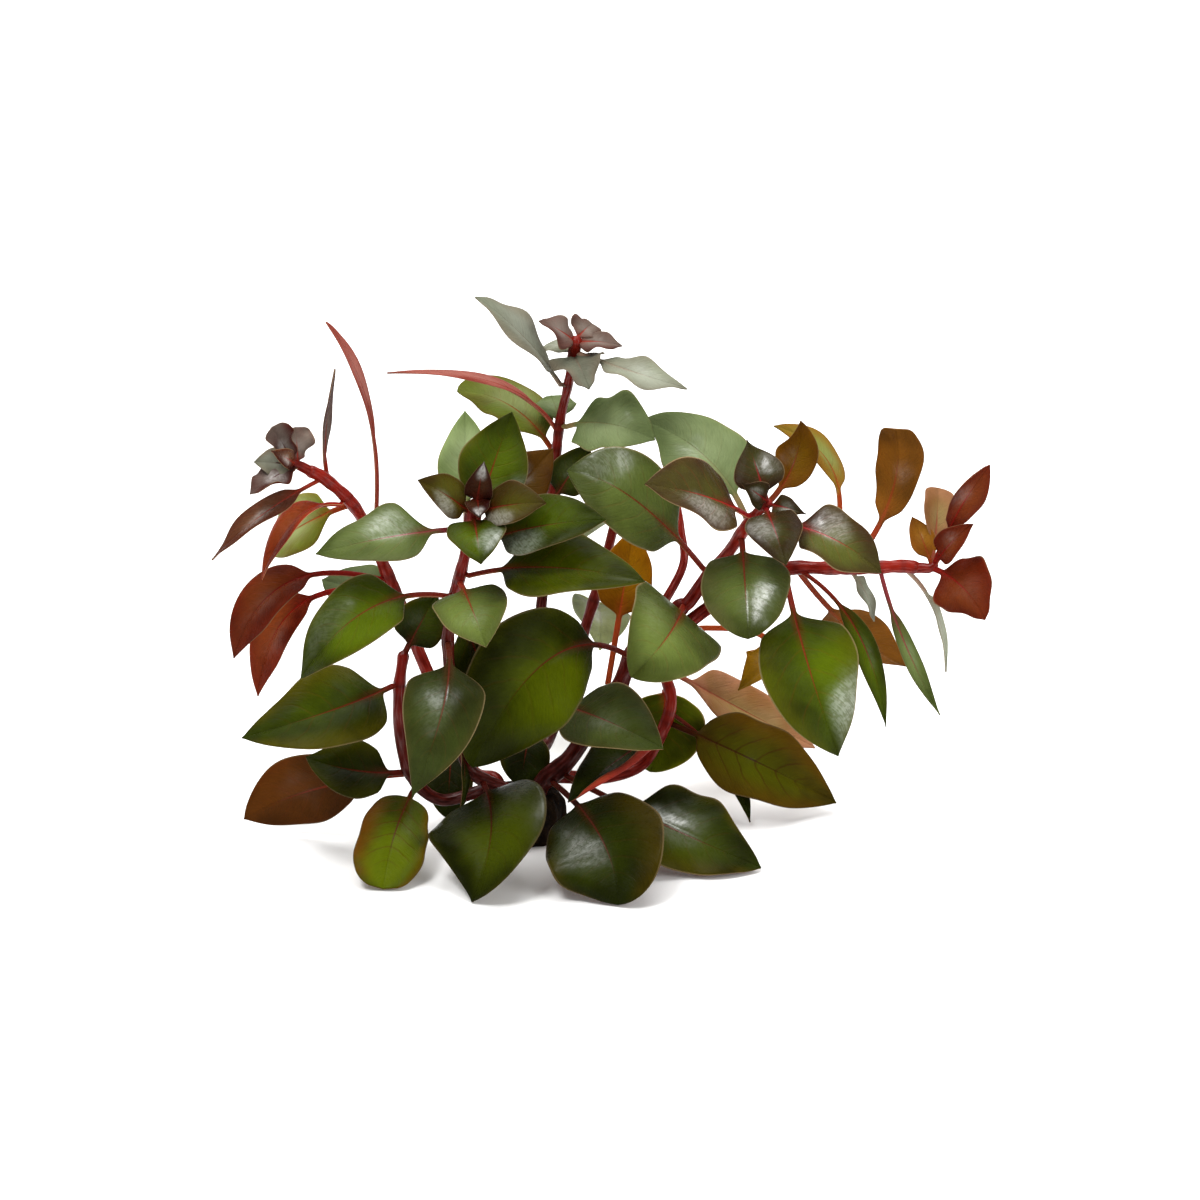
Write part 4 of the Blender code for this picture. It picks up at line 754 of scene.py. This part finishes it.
def blade_half(leaf, blade):
    """Half the width at each share of the blade b: b^rise (1 - b)^fall, drawn in over the neck at its
    foot, and joined to the stalk's half width by the cube root of the sum of their cubes."""
    share = np.clip(blade, 0, 1)
    rise, fall = leaf.outline
    peak = (rise / (rise + fall)) ** rise * (fall / (rise + fall)) ** fall
    half = leaf.width * MM / 2 * share**rise * (1 - share) ** fall / peak
    half = half * smooth(share, NECK_START, max(leaf.neck, 0.01))
    stalk = (STALK_WIDTH if leaf.width > SMALL_WIDTH else SMALL_STALK_WIDTH) / 2
    narrow = TIP_WIDTH / 2 + (stalk - TIP_WIDTH / 2) * (1 - smooth(share, 0, 0.4))
    return (half**3 + narrow**3) ** (1 / 3)


def vein_dip(x, blade):
    """How near each place is to a side vein, from 0 to 1, where x is the share from the midrib to the
    edge. Veins lie where VEINS (blade - VEIN_LEAN x^VEIN_BEND) is whole."""
    wave = 0.5 + 0.5 * np.cos(2 * math.pi * VEINS * (blade - VEIN_LEAN * x**VEIN_BEND))
    return wave**2 * smooth(blade, 0.02, 0.12) * (1 - smooth(blade, 0.75, 0.95))


def dents(dice, across, blade):
    """A gentle unevenness from -1 to 1: the mean of four sines that run across and along the blade."""
    total = 0
    for _ in range(4):
        turn, pace, phase = dice.uniform(0, math.pi), dice.uniform(4, 9), dice.uniform(0, 2 * math.pi)
        total = total + np.sin(pace * (across * math.cos(turn) + 2 * blade * math.sin(turn)) + phase)
    return total / 4


def wavy(dice, waves, blade):
    """A sine along the blade with between the least and the most of these waves."""
    return np.sin(2 * math.pi * (dice.uniform(*waves) * blade + dice.uniform(0, 1)))


def zone(place, spread, across, blade):
    """1 at a place across and along the blade, falling off as e^-(x^2 / spread_x + y^2 / spread_y)."""
    return np.exp(-((across - place[0]) ** 2 / spread[0] + (blade - place[1]) ** 2 / spread[1]))


def add_leaf(shape, leaf, number, paths, upper, lower):
    """A leaf as one closed sleeve from inside its stem to its tip. Across it, each half is an arc whose
    slope falls from twice the fold at the midrib to about level at the edge, plus the curl near the edge.
    The underside of a leaf whose upper side faces the view is nearer to the middle tone, since its tone is
    partly painted light and shade of its upper side."""
    settings = bpy.context.scene.ludwigia
    root, foot = leaf_foot(leaf, paths)
    rows, count = next(grid[1:] for grid in GRIDS if leaf.width > grid[0])
    along = leaf_rows(leaf, rows)
    midrib, run, up = leaf_line(leaf, foot, along)
    midrib[0] = root
    out = np.cross(run, up)
    flat_blade = (along - leaf.stalk) / (1 - leaf.stalk)
    broad = blade_half(leaf, flat_blade)
    blade = flat_blade[:, None]
    on_blade = smooth(blade, -0.03, 0.12)
    x = np.linspace(0, 1, count)
    span = smooth(blade, 0, 0.25) * (1 - smooth(blade, 0.86, 1))
    dice = np.random.default_rng(number)
    wall = settings.leaf_thickness / 2 * np.sqrt(1 - EDGE_LOSS * x**6)
    round_stalk = np.sqrt(1 - EDGE_LOSS * x**2) * STALK_DEPTH
    scale = min(leaf.width / BROAD_WIDTH, 1)
    arms = []
    for side, curl, flush in zip((-1, 1), leaf.curl, leaf.flush):
        edge = wavy(dice, SLOW_WAVES, blade) + 0.5 * wavy(dice, FAST_WAVES, blade)
        half = broad[:, None] * (1 + leaf.ragged * edge * span)
        near_tip = np.clip(blade, 0, 1)
        rib = RIB_DEPTH * (1 - 0.85 * near_tip) * np.exp(-(x * half / RIB_REACH) ** 2)
        groove = GROOVE_DEPTH * np.exp(-(x * half / GROOVE_REACH) ** 2) * (1 - near_tip)
        above = on_blade * wall + (1 - on_blade) * round_stalk
        below = above + on_blade * rib
        above = above - np.minimum(groove * on_blade, above * 0.8)
        relief = settings.vein_depth * leaf.veined * vein_dip(x, blade) * (1 - smooth(x, 0.75, 1))
        uneven = (DENT_DEPTH * dents(dice, side * x, blade) - relief) * scale * np.sqrt(x) * span
        slope = math.radians(leaf.fold) * (2.0 - 2.1 * x) * on_blade
        slope = slope + math.radians(curl) * smooth(x, 0.45, 1) * span
        step = half / (count - 1)
        mean = (slope[:, 1:] + slope[:, :-1]) / 2
        still = np.zeros_like(blade)
        reach = np.hstack((still, np.cumsum(np.cos(mean) * step, axis=1)))
        rise = np.hstack((still, np.cumsum(np.sin(mean) * step, axis=1)))
        rise = rise + leaf.wave * half * x**2 * wavy(dice, RISING_WAVES, blade) * span + uneven
        faces = []
        for depth in (above, -below):
            flat = side * (reach - np.sin(slope) * depth)
            faces.append(midrib[:, None] + out[:, None] * flat[..., None]
                         + up[:, None] * (rise + np.cos(slope) * depth)[..., None])
        # Painted light: where light shows through the blade, about its lit place
        glow = leaf.lit * zone(leaf.lit_at, LIT_SPREAD, side * x, blade) * smooth(blade, -0.05, 0.2)
        # The wax zone: coat gloss, and a pale painted sheen in the colour
        gloss = leaf.gloss * zone(leaf.gloss_at, WAX_AND_PAINTED_SHEEN_SPREAD, side * x, blade)
        values = (side * x, blade, x * half / MM, glow, flush * smooth(x, 0.3, 1) * span, gloss, leaf.tone)
        arms.append((faces, [np.broadcast_to(value, reach.shape) for value in values]))
    (left, left_values), (right, right_values) = arms
    rings = np.concatenate((left[0][:, :0:-1], right[0], right[1][:, ::-1], left[1][:, 1:]), axis=1)
    values = [np.concatenate((a[:, :0:-1], b, b[:, ::-1], a[:, 1:]), axis=1)
              for a, b in zip(left_values, right_values)]
    # The underside takes less of the tone, which is partly painted light and shade of the upper side
    if leaf.faces[1] < 0:
        values[-1][:, 2 * count - 1:] = leaf.tone ** HIDDEN_TONE
    shape.add_sleeve(rings, values, [upper] * (2 * count - 2) + [lower] * (2 * count))


def add_stem(shape, stem, paths, corners, skin):
    """A stem as a tube from inside what carries it to a rounded end, swollen where leaves and branches
    leave it: radius (1 + swelling) (1 + ridge cos(5 a + 6 share)), and a fine ring at each of them."""
    settings = bpy.context.scene.ludwigia
    rough = np.array(corners[stem.name])
    path = smooth_path(rough, int(walked(rough)[-1] / STEM_STEP) + 4)
    steps = walked(path)
    share = (steps / steps[-1])[:, None]
    joints = [leaf_foot(leaf, paths)[0] for leaf in LEAVES if leaf.stem == stem.name]
    joints += [corners[child.name][0] for child in STEMS if child.parent == stem.name]
    away = np.full((len(path), 1), np.inf)
    for joint in joints:
        away = np.minimum(away, np.linalg.norm(path - joint, axis=1, keepdims=True) / MM)
    swelling, ring = np.exp(-(away / SWELLING_REACH) ** 2), np.exp(-(away / RING_REACH) ** 2)
    radius = MM * (stem.radius[0] + (stem.radius[1] - stem.radius[0]) * share)
    radius = radius * (1 + settings.joint_swelling * swelling - RING_DEPTH * ring)
    left = (steps[-1] - steps)[:, None] / (STEM_END * radius)
    radius = radius * np.sqrt(np.clip(1 - (1 - np.minimum(left, 1)) ** 2, 0.02, 1))
    angle = np.linspace(0, 2 * math.pi, STEM_SIDES, endpoint=False)
    wall = radius * (1 + settings.stem_ridge * np.cos(STEM_RIDGES * angle + RIDGE_TURN * share))
    run = units(np.gradient(path, axis=0))
    first = units(np.cross(run, unit(np.array(TOWARDS_VIEW))))
    second = np.cross(run, first)
    rings = (path[:, None] + first[:, None] * (wall * np.cos(angle))[..., None]
             + second[:, None] * (wall * np.sin(angle))[..., None])
    # Across is how far round the stem a place is, blade and reach how far along it, glow how swollen the
    # stem is there and flush how near the place is to a ring
    values = (angle / math.pi - 1, share, steps[:, None] / MM, swelling, ring, 0, 1)
    shape.add_sleeve(rings, values, [skin] * STEM_SIDES)


def add_crown_surface(shape):
    """The rootstock: rings of radius R (1 + lumps) on a rounded profile, cut off flat below. Lumps are
    a sum of sines that run round it and up it."""
    height = np.linspace(0, 1, CROWN_ROWS)
    places = np.linspace(0, 1, len(CROWN_RISES))
    rise, reach = np.interp(height, places, CROWN_RISES), np.interp(height, places, CROWN_REACHES)
    height = height[:, None]
    angle = np.linspace(0, 2 * math.pi, CROWN_SIDES, endpoint=False)
    lumps = sum(size * np.sin(waves * angle + turn * height + phase)
                for size, waves, turn, phase in CROWN_LUMPS)
    wall = reach[:, None] * CROWN_RADIUS * (1 + (lumps - CROWN_INSET))
    up = np.broadcast_to(rise[:, None] * CROWN_HEIGHT, wall.shape)
    rings = np.stack((wall * np.cos(angle), wall * np.sin(angle), up), -1)
    shape.add_sleeve(rings, (angle / math.pi - 1, height, 0, 0, 0, 0, 1), [0] * CROWN_SIDES)


# Materials


def linear(colour):
    """A colour of 255 in the linear light that shaders use."""
    share = np.array(colour) / 255
    light = np.where(share <= 0.04045, share / 12.92, ((share + 0.055) / 1.055) ** 2.4)
    return (*light.tolist(), 1.0)


def feed(socket, value):
    """Links a node's value to a socket, or sets the socket's own."""
    if isinstance(value, Value):
        socket.id_data.links.new(value.output, socket)
    elif isinstance(value, bpy.types.NodeSocket):
        socket.id_data.links.new(value, socket)
    else:
        socket.default_value = value


def add_node(tree, kind, inputs=(), output=0, **settings):
    """What a new node with these inputs and settings puts out."""
    made = tree.nodes.new(kind)
    for name, value in settings.items():
        setattr(made, name, value)
    for socket, value in dict(inputs).items():
        feed(made.inputs[socket], value)
    return Value(made.outputs[output])


class Value:
    """What a shader node puts out. Sums with it add the nodes that work them out."""

    def __init__(self, output):
        self.output = output

    def math(self, operation, *values):
        """A Math node in the same tree."""
        return add_node(self.output.id_data, "ShaderNodeMath", enumerate(values), operation=operation)

    def __add__(self, other):
        return self.math("ADD", self, other)

    def __sub__(self, other):
        return self.math("SUBTRACT", self, other)

    def __rsub__(self, other):
        return self.math("SUBTRACT", other, self)

    def __mul__(self, other):
        return self.math("MULTIPLY", self, other)

    def __truediv__(self, other):
        return self.math("DIVIDE", self, other)

    def __pow__(self, other):
        return self.math("POWER", self, other)

    def __abs__(self):
        return self.math("ABSOLUTE", self)

    def ramp(self, low, high):
        """0 below low and 1 above high, smooth between."""
        inputs = {"Value": self, "From Min": low, "From Max": high}
        return add_node(self.output.id_data, "ShaderNodeMapRange", inputs, interpolation_type="SMOOTHSTEP")


class Nodes:
    """One shader tree, with short calls for the nodes that start its sums."""

    def __init__(self, tree):
        self.tree = tree

    def blend(self, share, low, high):
        """The colour low where share is 0, and high where it is 1 (the Mix node's inputs for colours)."""
        return add_node(self.tree, "ShaderNodeMix", {0: share, 6: low, 7: high}, output=2, data_type="RGBA")

    def layers(self, given, lowest, *layers):
        """Colours over each other, from the lowest up: each a share and the name of a given colour."""
        colour = given[lowest]
        for share, label in layers:
            colour = self.blend(share, colour, given[label])
        return colour

    def noise(self, scale, detail=2.0, distortion=0.0):
        """Noise that lies still on the object."""
        place = add_node(self.tree, "ShaderNodeTexCoord", output="Object")
        inputs = {"Vector": place, "Scale": scale, "Detail": detail, "Distortion": distortion}
        return add_node(self.tree, "ShaderNodeTexNoise", inputs)

    def streaks(self, roughness, *place):
        """Noise over a place given by values of the piece."""
        line = add_node(self.tree, "ShaderNodeCombineXYZ", enumerate(place))
        inputs = {"Vector": line, "Scale": 1.0, "Detail": 3.0, "Roughness": roughness}
        return add_node(self.tree, "ShaderNodeTexNoise", inputs)

    def value(self, name):
        """A piece's own value."""
        return add_node(self.tree, "ShaderNodeAttribute", output="Fac", attribute_name=name)


def make_group(name, colours, numbers):
    """A node group with colour and number inputs that puts out a skin's colour, roughness, relief and
    gloss: its tree, its helpers, its inputs and its outputs."""
    tree = bpy.data.node_groups.new(name, "ShaderNodeTree")
    for labels, way, kind in ((colours, "INPUT", "Color"), (numbers, "INPUT", "Float"),
                              (("Color",), "OUTPUT", "Color"),
                              (("Roughness", "Height", "Gloss"), "OUTPUT", "Float")):
        for label in labels:
            tree.interface.new_socket(label, in_out=way, socket_type="NodeSocket" + kind)
    given, result = tree.nodes.new("NodeGroupInput").outputs, tree.nodes.new("NodeGroupOutput").inputs
    return tree, Nodes(tree), {label: Value(given[label]) for label in (*colours, *numbers)}, result


def label_of(field):
    """The name of the leaf skin's input that takes one of a look's values."""
    return field.replace("_", " ").title()


def leaf_group():
    """The colour, roughness, relief and gloss of a leaf's skin: broad tone patches, painted light through the
    blade, side veins, margins and flush, wax coat gloss with a pale painted sheen in the colour, midrib with
    its halo, thin pale edge, and fine hair lines that run with the side veins. The leaf's tone, partly
    painted light and shade, scales the colour."""
    colours = [label_of(field) for field in Look._fields[:8] if field != "under"]
    tree, n, given, result = make_group("leaf skin", colours, [label_of(field) for field in Look._fields[8:]])
    side, blade, reach = n.value("across"), n.value("blade"), n.value("reach")
    across = abs(side)
    lean = blade - across**VEIN_BEND * VEIN_LEAN
    hair = n.streaks(0.6, lean * HAIR_ALONG, reach * HAIR_OUT, side * HAIR_SIDE)
    broad, patch = n.noise(COLOUR_PATCHES, 2.0, 0.4), n.noise(WAX_AND_PAINTED_SHEEN_PATCHES, 3.0, 1.0)
    fine = n.noise(FINE_GRAIN, 3.0)
    # Painted light: the glow colour stands in for light that shows through the blade
    through = n.value("glow") + (n.noise(GLOW_PATCHES, 2.0, 0.6) * 0.7 - 0.35)
    step = lean * (math.pi * VEINS) + (n.noise(VEIN_BENDS) * 1.1 - 0.55)
    ends = blade.ramp(0.03, 0.15) * (1.0 - blade.ramp(0.6, 0.9))
    vein = (1.0 - abs(step.math("SINE", step)).ramp(0.0, 0.3)) * ends * (1.0 - across.ramp(0.5, 0.9))
    margin = (across + broad * 0.5).ramp(0.95, 1.4) * 0.45
    margin = margin.math("MAXIMUM", margin, n.value("flush") * broad.ramp(0.15, 0.5))
    wrinkle = (fine + hair).ramp(0.84, 1.14) * 0.5 + 0.5
    # One mask for the real wax coat gloss and for a pale painted sheen in the colour
    wax_and_painted_sheen = (n.value("gloss") + (patch * 0.9 - 0.45)).ramp(0.2, 1.0) * wrinkle
    rib = 1.0 - (reach / (blade * -0.32 + 0.34)).ramp(0.4, 1.1)
    halo = (1.0 - reach.ramp(0.1, 1.6)) * 0.45 * (1.0 - blade.ramp(0.02, 0.4))
    line = rib.math("MAXIMUM", rib * (1.0 - blade.ramp(0.35, 0.8)), halo)
    # Over broad patches: painted light through the blade, veins, margins and flush, a pale painted sheen,
    # midrib, stalk and pale edge
    colour = n.layers(given, "Shade", (broad.ramp(0.3, 0.7), "Body"), (through.ramp(0.0, 0.9), "Glow"),
                      (vein * given["Vein Share"], "Rib"), (margin, "Flush"),
                      (wax_and_painted_sheen * given["Sheen Share"], "Sheen"), (line * given["Rib Share"], "Rib"),
                      (blade.ramp(0.03, -0.05), "Rib"), (across.ramp(0.955, 0.99) * 0.5, "Rim"))
    # The tone scales the colour: partly the leaf's own paleness, partly painted light and shade
    grain = (hair * 0.4 + 0.8) * n.value("tone")
    shaded = add_node(tree, "ShaderNodeVectorMath", {0: colour, "Scale": grain}, operation="SCALE")
    feed(result["Color"], shaded)
    feed(result["Roughness"], fine * 0.24 + (given["Roughness"] - 0.12))
    feed(result["Gloss"], wax_and_painted_sheen)
    feed(result["Height"], rib * -0.6 + (vein * -0.3 + (fine * 0.15 + hair)))
    return tree


def stem_group():
    """The colour, roughness, relief and gloss of a stem's skin: streaks along it, brighter towards its
    tip, and darker rings at its joints."""
    tree, n, given, result = make_group("stem skin", ("Body", "Shade", "Light", "Young"), ())
    streak = n.streaks(0.5, n.value("across") * STREAKS_ROUND, n.value("reach") * STREAKS_ALONG)
    colour = n.layers(given, "Shade", (streak.ramp(0.3, 0.6), "Body"),
                      (n.value("blade").ramp(0.45, 1.0) * 0.8, "Young"),
                      (streak.ramp(0.56, 0.75) * 0.5, "Light"),
                      (n.noise(STEM_SCARS).ramp(0.45, 0.7) * 0.35, "Shade"),
                      (n.value("flush") * 0.6, "Shade"))
    feed(result["Color"], colour)
    feed(result["Roughness"], streak * 0.25 + 0.24)
    feed(result["Gloss"], streak.ramp(0.4, 0.7) * 0.6)
    feed(result["Height"], n.noise(FINE_GRAIN, 3.0) * 0.4 + streak)
    return tree


def new_material(name, shine):
    """A material, helpers for its tree, and its shader's inputs."""
    made = bpy.data.materials.new(name)
    made.use_nodes = True
    shader = made.node_tree.nodes["Principled BSDF"].inputs
    shader["Specular IOR Level"].default_value = shine
    return made, Nodes(made.node_tree), shader


def add_relief(shader, height, distance, strength):
    """A shader's relief from a height that changes over the surface."""
    inputs = {"Height": height, "Distance": distance, "Strength": strength}
    feed(shader["Normal"], add_node(shader["Normal"].id_data, "ShaderNodeBump", inputs, output="Normal"))


SKINS = {"leaf skin": leaf_group, "stem skin": stem_group}


def skin_material(name, group, inputs):
    """A material that takes its colour, roughness, gloss and relief from a node group."""
    if name in bpy.data.materials:
        return bpy.data.materials[name]
    made, n, shader = new_material(name, SHINE)
    shader["Coat Roughness"].default_value = WAX_ROUGHNESS
    skin = n.tree.nodes.new("ShaderNodeGroup")
    skin.node_tree = bpy.data.node_groups.get(group) or SKINS[group]()
    for label, value in inputs.items():
        skin.inputs[label].default_value = value
    for label, output in (("Base Color", "Color"), ("Roughness", "Roughness"), ("Coat Weight", "Gloss")):
        feed(shader[label], skin.outputs[output])
    add_relief(shader, skin.outputs["Height"], SKIN_RELIEF, SKIN_RELIEF_STRENGTH)
    return made


def leaf_materials(leaf):
    """The upper and lower skins of a leaf."""
    look = LOOKS[leaf.look]
    dim = tuple(UNDER_SHADE * share for share in look.under)
    under = look._replace(body=look.under, shade=dim, glow=look.under,
                          sheen_share=look.sheen_share * UNDER_SHEEN, roughness=UNDER_ROUGHNESS)
    return tuple(skin_material(leaf.look + name, "leaf skin", {
        label_of(field): linear(value) if isinstance(value, tuple) else value
        for field, value in skin._asdict().items() if field != "under"
    }) for name, skin in ((" leaf", look), (" leaf underside", under)))


def stem_material(finish):
    """A stem's skin, in its colour of the sidebar."""
    inputs = dict(zip(("Body", "Shade", "Light", "Young"), map(linear, STEM_LOOKS[finish])))
    inputs["Body"] = getattr(bpy.context.scene.ludwigia, finish + "_stem")
    return skin_material(finish + " stem", "stem skin", inputs)


def bark_material():
    """Rough root bark with pale scars, near black: partly the bark's own colour and partly painted shade of
    the clump's shaded middle.
    """
    made, n, shader = new_material("crown bark", SHINE)
    lump, fine = n.noise(BARK_LUMPS, 4.0, 0.5), n.noise(BARK_GRAIN, 3.0)
    colour = n.blend(lump.ramp(0.35, 0.62), linear(BARK_SHADE), tuple(bpy.context.scene.ludwigia.bark))
    feed(shader["Base Color"], n.blend(fine.ramp(0.6, 0.75), colour, linear(BARK_SCAR)))
    feed(shader["Roughness"], fine * 0.2 + 0.65)
    add_relief(shader, fine * 0.4 + lump, BARK_RELIEF, 1.0)
    return made


def floor_material():
    """Smooth pale paper."""
    made, n, shader = new_material("pale floor", 0.1)
    pale = tuple(bpy.context.scene.ludwigia.floor_colour)
    dim = (*(share * 0.97 for share in pale[:3]), 1.0)
    feed(shader["Base Color"], n.blend(n.noise(PAPER_CLOUDS), dim, pale))
    shader["Roughness"].default_value = 0.9
    return made


# Operators, the sidebar and the run


def colour_setting(name, description, colour):
    """A colour that the sidebar shows, from one of 255."""
    return FloatVectorProperty(name=name, description=description, default=linear(colour), size=4,
                               min=0, max=1, subtype="COLOR")


class LudwigiaSettings(bpy.types.PropertyGroup):
    """The sizes and colours of the clump's fine detail and of the floor."""

    leaf_thickness: FloatProperty(
        name="Leaf thickness", description="Thickness of a leaf away from its midrib",
        default=0.3 * MM, min=0.1 * MM, max=0.5 * MM, unit="LENGTH")
    vein_depth: FloatProperty(
        name="Vein depth", description="How far the side veins sink into a full-grown leaf",
        default=0.14 * MM, min=0, max=0.4 * MM, unit="LENGTH")
    joint_swelling: FloatProperty(
        name="Joint swelling", description="How much thicker a stem is where leaves leave it",
        default=0.2, min=0, max=0.5)
    stem_ridge: FloatProperty(
        name="Stem ridge", description="Height of a stem's ridges as a share of its radius",
        default=0.035, min=0, max=0.1)
    floor_size: FloatProperty(
        name="Floor size", description="Width of the pale floor", default=8.0, min=1, max=20, unit="LENGTH")
    maroon_stem: colour_setting("Old stem", "Colour of the older, maroon stems", STEM_LOOKS["maroon"][0])
    red_stem: colour_setting("Young stem", "Colour of the younger, red stems", STEM_LOOKS["red"][0])
    # The crown's near-black colour is partly painted shade of the clump's shaded middle
    bark: colour_setting("Crown bark", "Colour of the crown's bark", BARK_WITH_PAINTED_SHADE)
    floor_colour: colour_setting("Floor colour", "Colour of the pale floor", FLOOR)


def place_piece(shape, node, materials):
    """Builds a piece in place of its node, on the plant's one body."""
    piece = shape.build(node + "_grown", materials)
    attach(piece, "root")
    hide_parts(node)


class LUDWIGIA_OT_crown(bpy.types.Operator):
    """Adds the short rootstock that the stems spread from"""

    bl_idname = "ludwigia.crown"
    bl_label = "Add Crown"

    def execute(self, context):
        shape = Shape()
        add_crown_surface(shape)
        place_piece(shape, "crown", [bark_material()])
        return {"FINISHED"}


class LUDWIGIA_OT_stems(bpy.types.Operator):
    """Adds the stems and shoot tips, each with the small leaves that are grown into it"""

    bl_idname = "ludwigia.stems"
    bl_label = "Add Stems"

    def execute(self, context):
        paths, corners = stem_paths()
        for stem in STEMS:
            shape = Shape()
            add_stem(shape, stem, paths, corners, 0)
            skins = [stem_material(stem.finish)]
            for number, leaf in enumerate(LEAVES):
                if leaf.stem == stem.name and not leaf.own:
                    pair = leaf_materials(leaf)
                    skins += [skin for skin in pair if skin not in skins]
                    add_leaf(shape, leaf, number, paths, *map(skins.index, pair))
            place_piece(shape, stem.name, skins)
        return {"FINISHED"}


class LUDWIGIA_OT_leaves(bpy.types.Operator):
    """Adds the leaves that stand on stalks of their own"""

    bl_idname = "ludwigia.leaves"
    bl_label = "Add Leaves"

    def execute(self, context):
        paths, _ = stem_paths()
        for number, leaf in enumerate(LEAVES):
            if leaf.own:
                shape = Shape()
                add_leaf(shape, leaf, number, paths, 0, 1)
                place_piece(shape, leaf.name, leaf_materials(leaf))
        return {"FINISHED"}


def aim(thing, away):
    """Stands a light or the camera away from the middle of the view and turns it to look back at it."""
    thing.location = Vector(VIEW_CENTRE) + away
    thing.rotation_euler = (-away).to_track_quat("-Z", "Y").to_euler()


class LUDWIGIA_OT_stage(bpy.types.Operator):
    """Adds the pale floor, the soft lights and the camera"""

    bl_idname = "ludwigia.stage"
    bl_label = "Add Stage"

    def execute(self, context):
        scene = context.scene
        half = scene.ludwigia.floor_size / 2
        mesh = bpy.data.meshes.new("floor")
        corners = [(-half, -half, 0), (half, -half, 0), (half, half, 0), (-half, half, 0)]
        mesh.from_pydata(corners, [], [(0, 1, 2, 3)])
        mesh.materials.append(floor_material())
        add_object("floor", mesh)
        for name, place, width, power in LIGHTS:
            lamp = bpy.data.lights.new(name, "AREA")
            lamp.shape = "DISK"
            lamp.size = width
            lamp.energy = power
            aim(add_object(name, lamp), Vector(place))
        scene.world = bpy.data.worlds.new("studio")
        scene.world.use_nodes = True
        room = scene.world.node_tree.nodes["Background"].inputs
        room["Color"].default_value = (1, 1, 1, 1)
        room["Strength"].default_value = ROOM_LIGHT
        data = bpy.data.cameras.new("camera")
        data.sensor_width = SENSOR
        data.lens = VIEW_SCALE * SENSOR / VIEW_WIDTH
        data.clip_start = VIEW_DISTANCE / 100
        scene.camera = add_object("camera", data)
        aim(scene.camera, Vector((0, -COSINE, SINE)) * VIEW_DISTANCE)
        scene.view_settings.view_transform = "Standard"
        return {"FINISHED"}


class LUDWIGIA_PT_panel(bpy.types.Panel):
    """The clump's settings and the steps that build it"""

    bl_label = "Ludwigia"
    bl_space_type = "VIEW_3D"
    bl_region_type = "UI"
    bl_category = "Ludwigia"

    def draw(self, context):
        for name in LudwigiaSettings.__annotations__:
            self.layout.prop(context.scene.ludwigia, name)
        for operator in (LUDWIGIA_OT_crown, LUDWIGIA_OT_stems, LUDWIGIA_OT_leaves, LUDWIGIA_OT_stage):
            self.layout.operator(operator.bl_idname)


CLASSES = (LudwigiaSettings, LUDWIGIA_OT_crown, LUDWIGIA_OT_stems, LUDWIGIA_OT_leaves, LUDWIGIA_OT_stage,
           LUDWIGIA_PT_panel)


def register():
    for kind in CLASSES:
        bpy.utils.register_class(kind)
    bpy.types.Scene.ludwigia = PointerProperty(type=LudwigiaSettings)


def unregister():
    del bpy.types.Scene.ludwigia
    for kind in reversed(CLASSES):
        bpy.utils.unregister_class(kind)


def main():
    register()
    bpy.ops.ludwigia.stage()
    bpy.ops.ludwigia.crown()
    bpy.ops.ludwigia.stems()
    bpy.ops.ludwigia.leaves()


if __name__ == "__main__":
    main()
